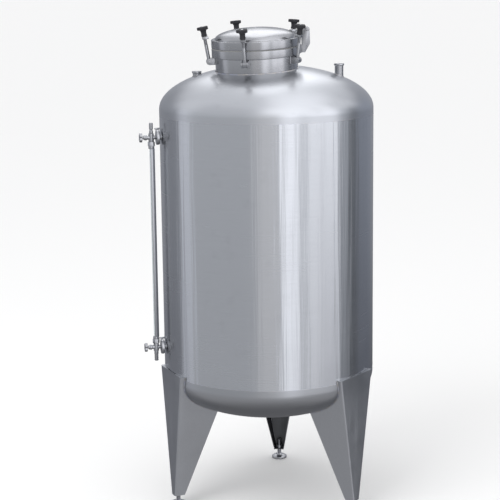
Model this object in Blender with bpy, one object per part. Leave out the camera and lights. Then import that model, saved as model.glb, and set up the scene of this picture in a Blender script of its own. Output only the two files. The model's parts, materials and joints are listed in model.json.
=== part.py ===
"""Upright stainless beverage tank on three channel legs, in metres, +Z up.

The origin is on the floor under the middle of the whole outline, gauge included, so the
tank's own axis stands a little to the right of it. The front looks along -Y, and
directions round the tank are azimuths in degrees: 0 is the front, 90 is the right (+X).
"""

import math

import bmesh
import bpy
from mathutils import Matrix, Vector

# Tank body
TANK_AXIS_X = 0.038
TANK_RADIUS = 0.500
WALL = 0.003
LOWER_SEAM = 0.645
UPPER_SEAM = 1.850
HEAD_FLANGE = 0.025
HEAD_DEPTH = 0.200
TANK_SIDES = 48
HEAD_STEPS = 7

# Gap between pieces that touch on the real tank
FIT = 0.0003

# Legs and their levelling feet
LEG_AZIMUTHS = {"left": -60.0, "right": 60.0, "rear": 180.0}
LEG_PLATE = 0.004
LEG_FOOT_LEVEL = 0.050
LEG_TOP_LEVEL = 0.660
LEG_HALF_TOP = 0.132
LEG_HALF_FOOT = 0.024
LEG_DEPTH_FOOT = 0.050
LEG_DEPTH_RISE = 0.35
LEG_FACE = TANK_RADIUS + 2 * FIT
LEG_CAP_START = 0.050
LEG_CAP_DEPTH = 0.032
FOOT_INSET = 0.0255
FOOT_PAD_RADIUS = 0.038
FOOT_PAD_HEIGHT = 0.022
FOOT_PAD_EDGE = 0.003
FOOT_STUD_RADIUS = 0.010
FOOT_STUD_TOP = 0.100
FOOT_NUT_RADIUS = 0.0165
FOOT_NUT_HEIGHT = 0.016

# Manway, heights measured from the dome along the manway's own axis
MANWAY_AZIMUTH = -30.0
MANWAY_OFFSET = 0.070
NECK_RADIUS = 0.190
NECK_FOOT = -0.035
MANWAY_CUT = 0.100
RING_RADIUS = 0.205
RING_FOOT = 0.051
RING_HEAD = 0.087
GASKET_THICKNESS = 0.003
GASKET_INSET = 0.0015
LID_FOOT = RING_HEAD + GASKET_THICKNESS + 2 * FIT
LID_RIM_TOP = 0.129
LID_RIM_WIDTH = 0.012
LID_RIM_EDGE = 0.0025
LID_DOME_RADIUS = 0.174
LID_DOME_HEIGHT = 0.047
LID_DOME_STEPS = 6
MANWAY_SIDES = 40

# Swing bolts round the manway
BOLT_AZIMUTHS = (-7.5, -79.5, -151.5, 136.5, 64.5)
BOLT_LEAN = 8.0
BOLT_PIVOT_RADIUS = 0.218
BOLT_PIVOT_LEVEL = 0.031
BOLT_RADIUS = 0.008
BOLT_TOP = 0.149
BOLT_EYE_RADIUS = 0.0125
BOLT_EYE_WIDTH = 0.018
BOLT_PIN_RADIUS = 0.006
CLAW_FOOT = 0.1035
CLAW_HEIGHT = 0.012
CLAW_REACH = 0.018
CLAW_BACK = 0.012
CLAW_WIDTH = 0.022
LUG_PLATE = 0.006
LUG_SIDE_GAP = 0.0008
LUG_FOOT = 0.016
LUG_NOSE = 0.014
LUG_PIN_END = 0.003

# Star knobs, heights measured from the bolt's pivot
KNOB_FOOT = 0.1175
KNOB_PLATE_FOOT = 0.1475
KNOB_TOP = 0.1625
KNOB_HUB_RADIUS = 0.0140
KNOB_PLATE_RADIUS = 0.0235
KNOB_LOBE = 0.0040
KNOB_LOBES = 5
KNOB_BORE_ROOM = 0.001

# Lid hinge, in the manway's frame
HINGE_AZIMUTH = 100.5
HINGE_PIN_REACH = 0.238
HINGE_PIN_LEVEL = 0.157
HINGE_PIN_RADIUS = 0.0055
HINGE_BOSS_RADIUS = 0.0105
HINGE_ARM_WIDTH = 0.023
HINGE_ARM_GAP = 0.003
HINGE_ARM_HEIGHT = 0.018
HINGE_EAR_GAP = 0.001
HINGE_EAR = 0.006
HINGE_EAR_START = 0.007
HINGE_EAR_FOOT = 0.012
HINGE_EAR_SLOPE = 0.040
HINGE_EAR_NECK = 0.014
HINGE_BASE_MARGIN = 0.001
HINGE_BASE_DEPTH = 0.013
HINGE_PIN_HEAD_RADIUS = 0.0085
HINGE_PIN_HEAD = 0.004

# Level gauge on the shell
GAUGE_AZIMUTH = -72.0
GAUGE_LEVELS = {"upper": 1.753, "lower": 0.756}
GAUGE_STUB_RADIUS = 0.0125
GAUGE_STUB_ROOT = 0.490
GAUGE_CLAMP_START = 0.506
GAUGE_CLAMP_END = 0.522
GAUGE_CLAMP_RADIUS = 0.036
GAUGE_CLAMP_EDGE = 0.004
GAUGE_TUBE_REACH = 0.544
GAUGE_BAR_RADIUS = 0.0095
GAUGE_BAR_END = 0.580
GAUGE_COLLAR_LENGTH = 0.012
GAUGE_BARREL_RADIUS = 0.0125
GAUGE_BARREL_HALF = 0.019
GLAND_RADIUS = 0.0165
GLAND_START = 0.0195
GLAND_END = 0.052
GLASS_RADIUS = 0.008
GLASS_WALL = 0.0015
GUARD_RADIUS = 0.0150
GUARD_WALL = 0.0015
GUARD_SLOT_DEGREES = 120.0
SPINDLE_RADIUS = 0.004
SPINDLE_DEPTH = 0.010
SPINDLE_ROOM = 0.001
WHEEL_START = 0.586
WHEEL_END = 0.600
WHEEL_RADIUS = 0.0190
WHEEL_LOBE = 0.0025
WHEEL_LOBES = 6
VENT_RADIUS = 0.0090
VENT_TOP = 0.068
DRAIN_RADIUS = 0.0100
DRAIN_FOOT = 0.066

# Top nozzles
RIGHT_NOZZLE = {"azimuth": 96.0, "reach": 0.340, "radius": 0.0200, "top": 2.075}
LEFT_NOZZLE = {"azimuth": -86.0, "reach": 0.322, "radius": 0.0190, "top": 2.046}
NOZZLE_WALL = 0.003
NOZZLE_FOOT_DROP = 0.035
NOZZLE_LIP = 0.0035
NOZZLE_LIP_HEIGHT = 0.007

SMALL_SIDES = 20
PIN_SIDES = 16
OVERLAP = 0.002
TINY = 1e-6


def clear_scene():
    """Remove whatever the scene holds."""
    for obj in list(bpy.data.objects):
        bpy.data.objects.remove(obj, do_unlink=True)


def material(name, colour, roughness, metallic):
    """Return a Principled material."""
    mat = bpy.data.materials.new(name)
    mat.use_nodes = True
    shader = mat.node_tree.nodes["Principled BSDF"]
    shader.inputs["Base Color"].default_value = (*colour, 1.0)
    shader.inputs["Roughness"].default_value = roughness
    shader.inputs["Metallic"].default_value = metallic
    mat.diffuse_color = (*colour, 1.0)
    return mat


def link(obj):
    """Put an object in the scene."""
    bpy.context.scene.collection.objects.link(obj)
    return obj


def mesh_from(bm, name):
    """Turn a bmesh into a mesh whose faces point out."""
    bmesh.ops.recalc_face_normals(bm, faces=bm.faces)
    mesh = bpy.data.meshes.new(name)
    bm.to_mesh(mesh)
    bm.free()
    return mesh


def ring_of(bm, radius, height, sides):
    """Add one ring of points, or a single point on the axis."""
    if radius < TINY:
        return [bm.verts.new((0.0, 0.0, height))]
    turn = 2 * math.pi / sides
    return [
        bm.verts.new((radius * math.cos(turn * k), radius * math.sin(turn * k), height))
        for k in range(sides)
    ]


def bridge(bm, first, second):
    """Join two rings with faces, as a fan where one is a point."""
    count = max(len(first), len(second))
    if count == 1:
        return
    for k in range(count):
        after = (k + 1) % count
        corners = [first[k % len(first)], first[after % len(first)]]
        corners += [second[after % len(second)], second[k % len(second)]]
        bm.faces.new(list(dict.fromkeys(corners)))


def turned(outline, sides):
    """Turn a closed outline of (radius, height) points about Z."""
    bm = bmesh.new()
    rings = [ring_of(bm, radius, height, sides) for radius, height in outline]
    for first, second in zip(rings, rings[1:] + rings[:1]):
        bridge(bm, first, second)
    return mesh_from(bm, "turned")


def prism(points, start, end):
    """Extrude a flat outline of (x, y) points along Z."""
    bm = bmesh.new()
    low = [bm.verts.new((x, y, start)) for x, y in points]
    high = [bm.verts.new((x, y, end)) for x, y in points]
    bridge(bm, low, high)
    bm.faces.new(low)
    bm.faces.new(high)
    return mesh_from(bm, "prism")


def cylinder(radius, start, end, sides=SMALL_SIDES):
    """Return a round bar along Z."""
    return turned([(0.0, start), (radius, start), (radius, end), (0.0, end)], sides)


def across(mesh):
    """Turn a mesh built along Z so that it runs along Y, its X kept."""
    mesh.transform(Matrix.Rotation(math.radians(90.0), 4, "X"))
    return mesh


def outwards(mesh):
    """Turn a mesh built along Z so that it runs along X."""
    mesh.transform(Matrix.Rotation(math.radians(90.0), 4, "Y"))
    return mesh


def moved(mesh, x, y, z):
    """Shift a mesh."""
    mesh.transform(Matrix.Translation((x, y, z)))
    return mesh


def plate(points, start, end):
    """Return a plate cut to (x, z) points that spans Y from start to end."""
    return across(prism(points, -end, -start))


def block(low, high):
    """Return a box between two corners."""
    corners = [(low[0], low[1]), (high[0], low[1]), (high[0], high[1]), (low[0], high[1])]
    return prism(corners, low[2], high[2])


def arc(centre, radius, first, last, steps):
    """Return points along an arc, by angle in degrees from +X."""
    angles = [math.radians(first + (last - first) * k / steps) for k in range(steps + 1)]
    return [(centre[0] + radius * math.cos(a), centre[1] + radius * math.sin(a)) for a in angles]


def add_boolean(obj, tool, operation):
    """Add an exact Boolean modifier."""
    modifier = obj.modifiers.new(operation.lower(), "BOOLEAN")
    modifier.operation = operation
    modifier.solver = "EXACT"
    modifier.object = tool


def fused(meshes, cuts=()):
    """Unite solids into one mesh and take the cuts out of it."""
    base = link(bpy.data.objects.new("base", meshes[0]))
    tools = []
    for mesh, operation in [(m, "UNION") for m in meshes[1:]] + [(m, "DIFFERENCE") for m in cuts]:
        tool = link(bpy.data.objects.new("tool", mesh))
        add_boolean(base, tool, operation)
        tools.append(tool)
    evaluated = base.evaluated_get(bpy.context.evaluated_depsgraph_get())
    result = bpy.data.meshes.new_from_object(evaluated)
    for obj in tools + [base]:
        bpy.data.objects.remove(obj, do_unlink=True)
    return result


def smooth_round(mesh):
    """Shade the round faces smooth and keep the edges sharp."""
    mesh.shade_smooth()
    mesh.set_sharp_from_angle(angle=math.radians(35.0))


def piece(name, mesh, mat, parent=None, place=None):
    """Make one named sub-part."""
    mesh = mesh.copy()
    mesh.name = name
    mesh.materials.clear()
    mesh.materials.append(mat)
    smooth_round(mesh)
    obj = link(bpy.data.objects.new(name, mesh))
    obj.parent = parent
    if place is not None:
        obj.matrix_local = place
    return obj


def empty(name, place, parent=None):
    """Make an empty that carries pieces."""
    obj = link(bpy.data.objects.new(name, None))
    obj.empty_display_size = 0.05
    obj.parent = parent
    obj.matrix_local = place
    return obj


def cutter(name, mesh, parent=None, place=None):
    """Make a hidden solid that only cuts others."""
    obj = link(bpy.data.objects.new(name, mesh))
    obj.parent = parent
    if place is not None:
        obj.matrix_local = place
    obj.hide_render = True
    obj.display_type = "WIRE"
    return obj


def facing(azimuth):
    """Return a turn that points +X along an azimuth."""
    return Matrix.Rotation(math.radians(azimuth - 90.0), 4, "Z")


def on_azimuth(azimuth, reach, level):
    """Return the point at an azimuth, a radius and a height."""
    angle = math.radians(azimuth)
    return Vector((reach * math.sin(angle), -reach * math.cos(angle), level))


def head_arc(offset):
    """Return (radius, rise) points of a dished head from its pole to its flange."""
    angles = [math.pi / 2 * k / HEAD_STEPS for k in range(HEAD_STEPS + 1)]
    wide = TANK_RADIUS + offset
    high = HEAD_DEPTH + offset
    return [(wide * math.sin(a), high * math.cos(a)) for a in angles]


def head_outline(seam, way):
    """Return the closed outline of a head that stands on a seam."""
    outer = [(r, HEAD_FLANGE + z) for r, z in head_arc(0.0)] + [(TANK_RADIUS, FIT / 2)]
    inner = [(r, HEAD_FLANGE + z) for r, z in head_arc(-WALL)] + [(TANK_RADIUS - WALL, FIT / 2)]
    return [(r, seam + way * z) for r, z in outer + inner[::-1]]


def dome_level(reach):
    """Return the height of the top head's outside at a radius."""
    rise = HEAD_DEPTH * math.sqrt(1.0 - (reach / TANK_RADIUS) ** 2)
    return UPPER_SEAM + HEAD_FLANGE + rise


def tank_envelope():
    """Return the outside of the shell and the lower head, grown by the fit gap."""
    turn_level = LOWER_SEAM - HEAD_FLANGE
    lower = [(r, turn_level - z) for r, z in head_arc(FIT)]
    radius = TANK_RADIUS + FIT
    return turned(lower + [(radius, UPPER_SEAM), (0.0, UPPER_SEAM)], TANK_SIDES)


def make_shell(root, steel):
    """Make the rolled shell between the two seams."""
    low = LOWER_SEAM + FIT / 2
    high = UPPER_SEAM - FIT / 2
    inner = TANK_RADIUS - WALL
    outline = [(TANK_RADIUS, low), (TANK_RADIUS, high), (inner, high), (inner, low)]
    piece("shell", turned(outline, TANK_SIDES), steel, root)


def make_heads(root, steel, holes):
    """Make the dished ends, the top one pierced for the manway and the nozzles."""
    piece("bottom_head", turned(head_outline(LOWER_SEAM, -1), TANK_SIDES), steel, root)
    top = piece("top_head", turned(head_outline(UPPER_SEAM, 1), TANK_SIDES), steel, root)
    for hole in holes:
        add_boolean(top, hole, "DIFFERENCE")


def leg_section(level):
    """Return the U section of a leg at a height, as (x, y) points."""
    rise = (level - LEG_FOOT_LEVEL) / (LEG_TOP_LEVEL - LEG_FOOT_LEVEL)
    half = LEG_HALF_FOOT + (LEG_HALF_TOP - LEG_HALF_FOOT) * rise
    depth = LEG_DEPTH_FOOT + LEG_DEPTH_RISE * (level - LEG_FOOT_LEVEL)
    outer = LEG_FACE + LEG_PLATE
    inner = outer - depth
    web = [(inner, -half), (outer, -half), (outer, half), (inner, half)]
    gap = [(inner, half - LEG_PLATE), (LEG_FACE, half - LEG_PLATE)]
    gap += [(LEG_FACE, LEG_PLATE - half), (inner, LEG_PLATE - half)]
    return web + gap


def leg_cap(side):
    """Return the plate that closes one half of a leg's top, up to the curve of the shell."""
    edges = sorted((side * LEG_CAP_START, side * (LEG_HALF_TOP - LEG_PLATE / 2)))
    low = (LEG_FACE - LEG_CAP_DEPTH, edges[0], LEG_TOP_LEVEL - LEG_PLATE)
    high = (LEG_FACE + LEG_PLATE / 2, edges[1], LEG_TOP_LEVEL)
    return block(low, high)


def make_leg(root, name, azimuth, steel, envelope):
    """Make one folded channel leg: its foot takes a plate, its top is capped to the shell."""
    bm = bmesh.new()
    rings = []
    for level in (LEG_FOOT_LEVEL, LEG_TOP_LEVEL):
        rings.append([bm.verts.new((x, y, level)) for x, y in leg_section(level)])
    bridge(bm, rings[0], rings[1])
    for ring in rings:
        bm.faces.new(ring)
    outer = LEG_FACE + LEG_PLATE
    low = (outer - LEG_DEPTH_FOOT, -LEG_HALF_FOOT, LEG_FOOT_LEVEL)
    high = (LEG_FACE + LEG_PLATE / 2, LEG_HALF_FOOT, LEG_FOOT_LEVEL + LEG_PLATE)
    hole = cylinder(FOOT_STUD_RADIUS + FIT, 0.0, FOOT_STUD_TOP)
    solids = [mesh_from(bm, name), block(low, high), leg_cap(-1), leg_cap(1)]
    mesh = fused(solids, [moved(hole, outer - FOOT_INSET, 0.0, 0.0)])
    leg = piece(name, mesh, steel, root, facing(azimuth))
    add_boolean(leg, envelope, "DIFFERENCE")


def make_foot(root, name, azimuth, steel):
    """Make the levelling foot: a round pad, a stud and its nut inside the leg."""
    edge = FOOT_PAD_EDGE
    pad = [(0.0, 0.0), (FOOT_PAD_RADIUS - edge, 0.0), (FOOT_PAD_RADIUS, edge)]
    pad += [(FOOT_PAD_RADIUS, FOOT_PAD_HEIGHT / 2), (2 * FOOT_STUD_RADIUS, FOOT_PAD_HEIGHT)]
    stud = [(FOOT_STUD_RADIUS, FOOT_PAD_HEIGHT), (FOOT_STUD_RADIUS, FOOT_STUD_TOP), (0.0, FOOT_STUD_TOP)]
    nut_foot = LEG_FOOT_LEVEL + LEG_PLATE + FIT
    nut = cylinder(FOOT_NUT_RADIUS, nut_foot, nut_foot + FOOT_NUT_HEIGHT, sides=6)
    reach = LEG_FACE + LEG_PLATE - FOOT_INSET
    place = Matrix.Translation(on_azimuth(azimuth, reach, 0.0))
    piece(name, fused([turned(pad + stud, SMALL_SIDES), nut]), steel, root, place)


def make_legs(root, steel, envelope):
    """Make the three legs and their feet."""
    for side, azimuth in LEG_AZIMUTHS.items():
        make_leg(root, f"{side}_leg", azimuth, steel, envelope)
        make_foot(root, f"{side}_foot", azimuth, steel)


def manway_frame():
    """Return the place of the manway's frame on the dome, square to its surface."""
    rise = dome_level(MANWAY_OFFSET) - UPPER_SEAM - HEAD_FLANGE
    tilt = math.atan2(MANWAY_OFFSET / TANK_RADIUS**2, rise / HEAD_DEPTH**2)
    turn = facing(MANWAY_AZIMUTH)
    lean = turn @ Matrix.Rotation(tilt, 4, "Y") @ turn.inverted()
    spot = on_azimuth(MANWAY_AZIMUTH, MANWAY_OFFSET, dome_level(MANWAY_OFFSET))
    return Matrix.Translation(spot) @ lean


def band(inner, outer, low, high):
    """Return the outline of a flat ring."""
    return [(inner, low), (outer, low), (outer, high), (inner, high)]


def make_manway_base(frame, steel, rubber):
    """Make the neck, its clamping ring and the gasket."""
    bore = NECK_RADIUS - WALL
    neck = band(bore, NECK_RADIUS, NECK_FOOT, RING_FOOT - FIT)
    ring = band(bore, RING_RADIUS, RING_FOOT, RING_HEAD)
    low = RING_HEAD + FIT
    gasket = band(RING_RADIUS - LID_RIM_WIDTH, RING_RADIUS - GASKET_INSET, low, low + GASKET_THICKNESS)
    piece("manway_neck", turned(neck, MANWAY_SIDES), steel, frame)
    piece("manway_ring", turned(ring, MANWAY_SIDES), steel, frame)
    piece("manway_gasket", turned(gasket, MANWAY_SIDES), rubber, frame)


def lid_outline():
    """Return the outline of the dished lid with its deep rim."""
    angles = [math.pi / 2 * k / LID_DOME_STEPS for k in range(LID_DOME_STEPS + 1)]
    under = LID_RIM_TOP - WALL
    dome = [(LID_DOME_RADIUS * math.sin(a), LID_RIM_TOP + LID_DOME_HEIGHT * math.cos(a)) for a in angles]
    inner_radius = LID_DOME_RADIUS - WALL
    hollow = [(inner_radius * math.sin(a), under + LID_DOME_HEIGHT * math.cos(a)) for a in angles]
    edge = LID_RIM_EDGE
    rim = [(RING_RADIUS - edge, LID_RIM_TOP), (RING_RADIUS, LID_RIM_TOP - edge), (RING_RADIUS, LID_FOOT)]
    rim += [(RING_RADIUS - LID_RIM_WIDTH, LID_FOOT), (RING_RADIUS - LID_RIM_WIDTH, under)]
    return dome + rim + hollow[::-1]


def make_lid(frame, steel):
    """Make the lid and its hinge arm about the hinge axis, and the fixed bracket and pin."""
    turn = facing(HINGE_AZIMUTH)
    place = turn @ Matrix.Translation((HINGE_PIN_REACH, 0.0, HINGE_PIN_LEVEL))
    axis = empty("lid_axis", place, frame)
    lid = moved(turned(lid_outline(), MANWAY_SIDES), -HINGE_PIN_REACH, 0.0, -HINGE_PIN_LEVEL)
    piece("lid", lid, steel, axis)
    piece("lid_hinge_arm", hinge_arm(), steel, axis)
    piece("lid_hinge_bracket", hinge_bracket(), steel, axis)
    piece("lid_hinge_pin", hinge_pin(), steel, axis)


def hinge_arm():
    """Return the arm that is welded on the lid's rim and turns on the pin."""
    foot = LID_RIM_TOP + FIT - HINGE_PIN_LEVEL
    start = LID_DOME_RADIUS + HINGE_ARM_GAP - HINGE_PIN_REACH
    rim_end = RING_RADIUS - LID_RIM_EDGE - HINGE_PIN_REACH
    points = [(start, foot), (rim_end, foot)]
    points += arc((0.0, 0.0), HINGE_BOSS_RADIUS, -60.0, 120.0, 8)
    points += [(start, foot + HINGE_ARM_HEIGHT)]
    half = HINGE_ARM_WIDTH / 2
    hole = cylinder(HINGE_PIN_RADIUS + FIT, -HINGE_ARM_WIDTH, HINGE_ARM_WIDTH, PIN_SIDES)
    return fused([plate(points, -half, half)], [across(hole)])


def hinge_bracket():
    """Return the two ears and their base, which are welded on the clamping ring."""
    low = RING_FOOT + HINGE_BASE_MARGIN - HINGE_PIN_LEVEL
    high = RING_HEAD - HINGE_BASE_MARGIN - HINGE_PIN_LEVEL
    weld = RING_RADIUS + FIT - HINGE_PIN_REACH
    start = RING_RADIUS + HINGE_EAR_START - HINGE_PIN_REACH
    points = [(weld, low), (start + HINGE_EAR_FOOT, low), (HINGE_BOSS_RADIUS, low + HINGE_EAR_SLOPE)]
    points += arc((0.0, 0.0), HINGE_BOSS_RADIUS, 0.0, 180.0, 8)
    points += [(start, -HINGE_EAR_NECK), (start, high), (weld, high)]
    inner = HINGE_ARM_WIDTH / 2 + HINGE_EAR_GAP
    outer = inner + HINGE_EAR
    side = inner + HINGE_EAR / 2
    base = block((weld, -side, low), (weld + HINGE_BASE_DEPTH, side, high))
    hole = cylinder(HINGE_PIN_RADIUS + FIT, -HINGE_ARM_WIDTH, HINGE_ARM_WIDTH, PIN_SIDES)
    return fused([plate(points, -outer, -inner), plate(points, inner, outer), base], [across(hole)])


def hinge_pin():
    """Return the hinge pin with a head at each end."""
    outer = HINGE_ARM_WIDTH / 2 + HINGE_EAR_GAP + HINGE_EAR + FIT
    end = outer + HINGE_PIN_HEAD
    outline = [(0.0, -end), (HINGE_PIN_HEAD_RADIUS, -end), (HINGE_PIN_HEAD_RADIUS, -outer)]
    outline += [(HINGE_PIN_RADIUS, -outer), (HINGE_PIN_RADIUS, outer)]
    outline += [(HINGE_PIN_HEAD_RADIUS, outer), (HINGE_PIN_HEAD_RADIUS, end), (0.0, end)]
    return across(turned(outline, PIN_SIDES))


def bolt_lug():
    """Return two ears and a pin that carry a swing bolt, about the bolt's pivot."""
    top = RING_FOOT - FIT - BOLT_PIVOT_LEVEL
    foot = LUG_FOOT - BOLT_PIVOT_LEVEL
    weld = NECK_RADIUS + FIT - BOLT_PIVOT_RADIUS
    points = [(weld, foot), (0.0, foot)] + arc((0.0, 0.0), LUG_NOSE, -80.0, 60.0, 7)
    points += [(weld, top)]
    inner = BOLT_EYE_WIDTH / 2 + LUG_SIDE_GAP
    outer = inner + LUG_PLATE
    end = outer + LUG_PIN_END
    pin = across(cylinder(BOLT_PIN_RADIUS, -end, end, PIN_SIDES))
    return fused([plate(points, -outer, -inner), plate(points, inner, outer), pin])


def swing_bolt():
    """Return an eye bolt with the claw that hooks over the lid, along Z from its pivot."""
    rod = cylinder(BOLT_RADIUS, 0.0, BOLT_TOP, PIN_SIDES)
    half = BOLT_EYE_WIDTH / 2
    eye = across(cylinder(BOLT_EYE_RADIUS, -half, half))
    low = (-CLAW_REACH, -CLAW_WIDTH / 2, CLAW_FOOT)
    high = (CLAW_BACK, CLAW_WIDTH / 2, CLAW_FOOT + CLAW_HEIGHT)
    hole = across(cylinder(BOLT_PIN_RADIUS + FIT, -BOLT_EYE_WIDTH, BOLT_EYE_WIDTH, PIN_SIDES))
    return fused([rod, eye, block(low, high)], [hole])


def lobed(radius, lobe, count, steps):
    """Return the outline of a wheel with rounded lobes."""
    points = []
    for k in range(steps):
        angle = 2 * math.pi * k / steps
        reach = radius + lobe * math.cos(count * angle)
        points.append((reach * math.cos(angle), reach * math.sin(angle)))
    return points


def star_knob():
    """Return a star knob with a blind bore for the bolt's end."""
    star = prism(lobed(KNOB_PLATE_RADIUS, KNOB_LOBE, KNOB_LOBES, 30), KNOB_PLATE_FOOT, KNOB_TOP)
    hub = cylinder(KNOB_HUB_RADIUS, KNOB_FOOT, KNOB_PLATE_FOOT + OVERLAP)
    bore = cylinder(BOLT_RADIUS + FIT, 0.0, BOLT_TOP + KNOB_BORE_ROOM, PIN_SIDES)
    return fused([star, hub], [bore])


def make_bolts(frame, steel, plastic):
    """Make the five lugs, swing bolts and star knobs."""
    lug = bolt_lug()
    bolt = swing_bolt()
    knob = star_knob()
    for number, azimuth in enumerate(BOLT_AZIMUTHS, start=1):
        pivot = facing(azimuth) @ Matrix.Translation((BOLT_PIVOT_RADIUS, 0.0, BOLT_PIVOT_LEVEL))
        lean = pivot @ Matrix.Rotation(math.radians(BOLT_LEAN), 4, "Y")
        axis = empty(f"bolt_axis_{number}", lean, frame)
        piece(f"bolt_lug_{number}", lug, steel, frame, pivot)
        piece(f"swing_bolt_{number}", bolt, steel, axis)
        piece(f"star_knob_{number}", knob, plastic, axis)


def hexagon(radius, bore, start, end):
    """Return a hexagonal nut with a round bore."""
    hole = cylinder(bore, start - OVERLAP, end + OVERLAP)
    return fused([cylinder(radius, start, end, 6)], [hole])


def gauge_flange(frame, name, level, steel, envelope):
    """Make the stub and clamp that hold one gauge valve on the shell."""
    edge = GAUGE_CLAMP_EDGE
    outline = [(0.0, GAUGE_STUB_ROOT), (GAUGE_STUB_RADIUS, GAUGE_STUB_ROOT)]
    outline += [(GAUGE_STUB_RADIUS, GAUGE_CLAMP_START)]
    outline += [(GAUGE_CLAMP_RADIUS - edge, GAUGE_CLAMP_START)]
    outline += [(GAUGE_CLAMP_RADIUS, GAUGE_CLAMP_START + edge)]
    outline += [(GAUGE_CLAMP_RADIUS, GAUGE_CLAMP_END - edge)]
    outline += [(GAUGE_CLAMP_RADIUS - edge, GAUGE_CLAMP_END), (0.0, GAUGE_CLAMP_END)]
    place = Matrix.Translation((0.0, 0.0, level))
    flange = piece(name, outwards(turned(outline, 24)), steel, frame, place)
    add_boolean(flange, envelope, "DIFFERENCE")


def gauge_valve(frame, name, level, steel):
    """Make one valve body: a bar from the clamp, crossed by the gauge's barrel."""
    bar = outwards(cylinder(GAUGE_BAR_RADIUS, GAUGE_CLAMP_END + FIT, GAUGE_BAR_END))
    barrel = cylinder(GAUGE_BARREL_RADIUS, -GAUGE_BARREL_HALF, GAUGE_BARREL_HALF)
    collar = outwards(cylinder(GAUGE_BARREL_RADIUS, GAUGE_BAR_END - GAUGE_COLLAR_LENGTH, GAUGE_BAR_END))
    depth = GAUGE_BAR_END - SPINDLE_DEPTH - SPINDLE_ROOM
    bore = outwards(cylinder(SPINDLE_RADIUS + FIT, depth, GAUGE_BAR_END + OVERLAP, PIN_SIDES))
    body = fused([bar, moved(barrel, GAUGE_TUBE_REACH, 0.0, 0.0), collar], [bore])
    piece(name, body, steel, frame, Matrix.Translation((0.0, 0.0, level)))


def handwheel(frame, name, level, mat):
    """Make the small lobed wheel and its spindle, about the spindle's axis."""
    wheel = prism(lobed(WHEEL_RADIUS, WHEEL_LOBE, WHEEL_LOBES, 36), 0.0, WHEEL_END - WHEEL_START)
    spindle_end = GAUGE_BAR_END - SPINDLE_DEPTH - WHEEL_START
    spindle = cylinder(SPINDLE_RADIUS, spindle_end, OVERLAP, PIN_SIDES)
    mesh = fused([wheel, spindle])
    place = Matrix.Translation((WHEEL_START, 0.0, level)) @ Matrix.Rotation(math.radians(90.0), 4, "Y")
    piece(name, mesh, mat, frame, place)


def gauge_gland(frame, name, level, way, steel):
    """Make the gland nut between a valve's barrel and the glass."""
    nut = hexagon(GLAND_RADIUS, GLASS_RADIUS + FIT, GLAND_START, GLAND_END)
    if way < 0:
        nut.transform(Matrix.Rotation(math.pi, 4, "X"))
    piece(name, nut, steel, frame, Matrix.Translation((GAUGE_TUBE_REACH, 0.0, level)))


def guard_section():
    """Return the open C section of the glass tube's guard."""
    half = GUARD_SLOT_DEGREES / 2
    outer = arc((0.0, 0.0), GUARD_RADIUS, half, 360.0 - half, 14)
    inner = arc((0.0, 0.0), GUARD_RADIUS - GUARD_WALL, half, 360.0 - half, 14)
    return outer + inner[::-1]


def make_gauge(root, steel, glass, envelope):
    """Make the level gauge from its two valves to the glass between them."""
    frame = empty("gauge_frame", facing(GAUGE_AZIMUTH), root)
    low, high = GAUGE_LEVELS["lower"], GAUGE_LEVELS["upper"]
    for side, level in GAUGE_LEVELS.items():
        gauge_flange(frame, f"{side}_gauge_flange", level, steel, envelope)
        gauge_valve(frame, f"{side}_gauge_valve", level, steel)
        handwheel(frame, f"{side}_handwheel", level, steel)
    gauge_gland(frame, "upper_gland_nut", high, -1, steel)
    gauge_gland(frame, "lower_gland_nut", low, 1, steel)
    start = low + GLAND_START + FIT
    end = high - GLAND_START - FIT
    tube = turned(band(GLASS_RADIUS - GLASS_WALL, GLASS_RADIUS, start, end), SMALL_SIDES)
    place = Matrix.Translation((GAUGE_TUBE_REACH, 0.0, 0.0))
    piece("gauge_glass", tube, glass, frame, place)
    guard = prism(guard_section(), low + GLAND_END + FIT, high - GLAND_END - FIT)
    piece("gauge_guard", guard, steel, frame, place)
    vent = cylinder(VENT_RADIUS, GAUGE_BARREL_HALF + FIT, VENT_TOP)
    piece("vent_plug", vent, steel, frame, Matrix.Translation((GAUGE_TUBE_REACH, 0.0, high)))
    drain = band(DRAIN_RADIUS - WALL, DRAIN_RADIUS, -DRAIN_FOOT, -GAUGE_BARREL_HALF - FIT)
    spot = Matrix.Translation((GAUGE_TUBE_REACH, 0.0, low))
    piece("drain_pipe", turned(drain, SMALL_SIDES), steel, frame, spot)


def nozzle_place(nozzle):
    """Return the place of a nozzle's foot, just inside the dome."""
    level = dome_level(nozzle["reach"]) - NOZZLE_FOOT_DROP
    return Matrix.Translation(on_azimuth(nozzle["azimuth"], nozzle["reach"], level))


def nozzle_hole(root, name, nozzle):
    """Return the cutter for a nozzle's hole in the dome."""
    mesh = cylinder(nozzle["radius"] + FIT, -NOZZLE_FOOT_DROP, 3 * NOZZLE_FOOT_DROP)
    return cutter(name, mesh, root, nozzle_place(nozzle))


def make_nozzles(root, steel):
    """Make the two open nozzles with their lips."""
    for name, nozzle in (("right_nozzle", RIGHT_NOZZLE), ("left_nozzle", LEFT_NOZZLE)):
        radius = nozzle["radius"]
        bore = radius - NOZZLE_WALL
        top = nozzle["top"] - dome_level(nozzle["reach"]) + NOZZLE_FOOT_DROP
        lip = top - NOZZLE_LIP_HEIGHT
        outline = [(bore, 0.0), (radius, 0.0), (radius, lip), (radius + NOZZLE_LIP, lip)]
        outline += [(radius + NOZZLE_LIP, top), (bore, top)]
        piece(name, turned(outline, SMALL_SIDES), steel, root, nozzle_place(nozzle))


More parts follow.
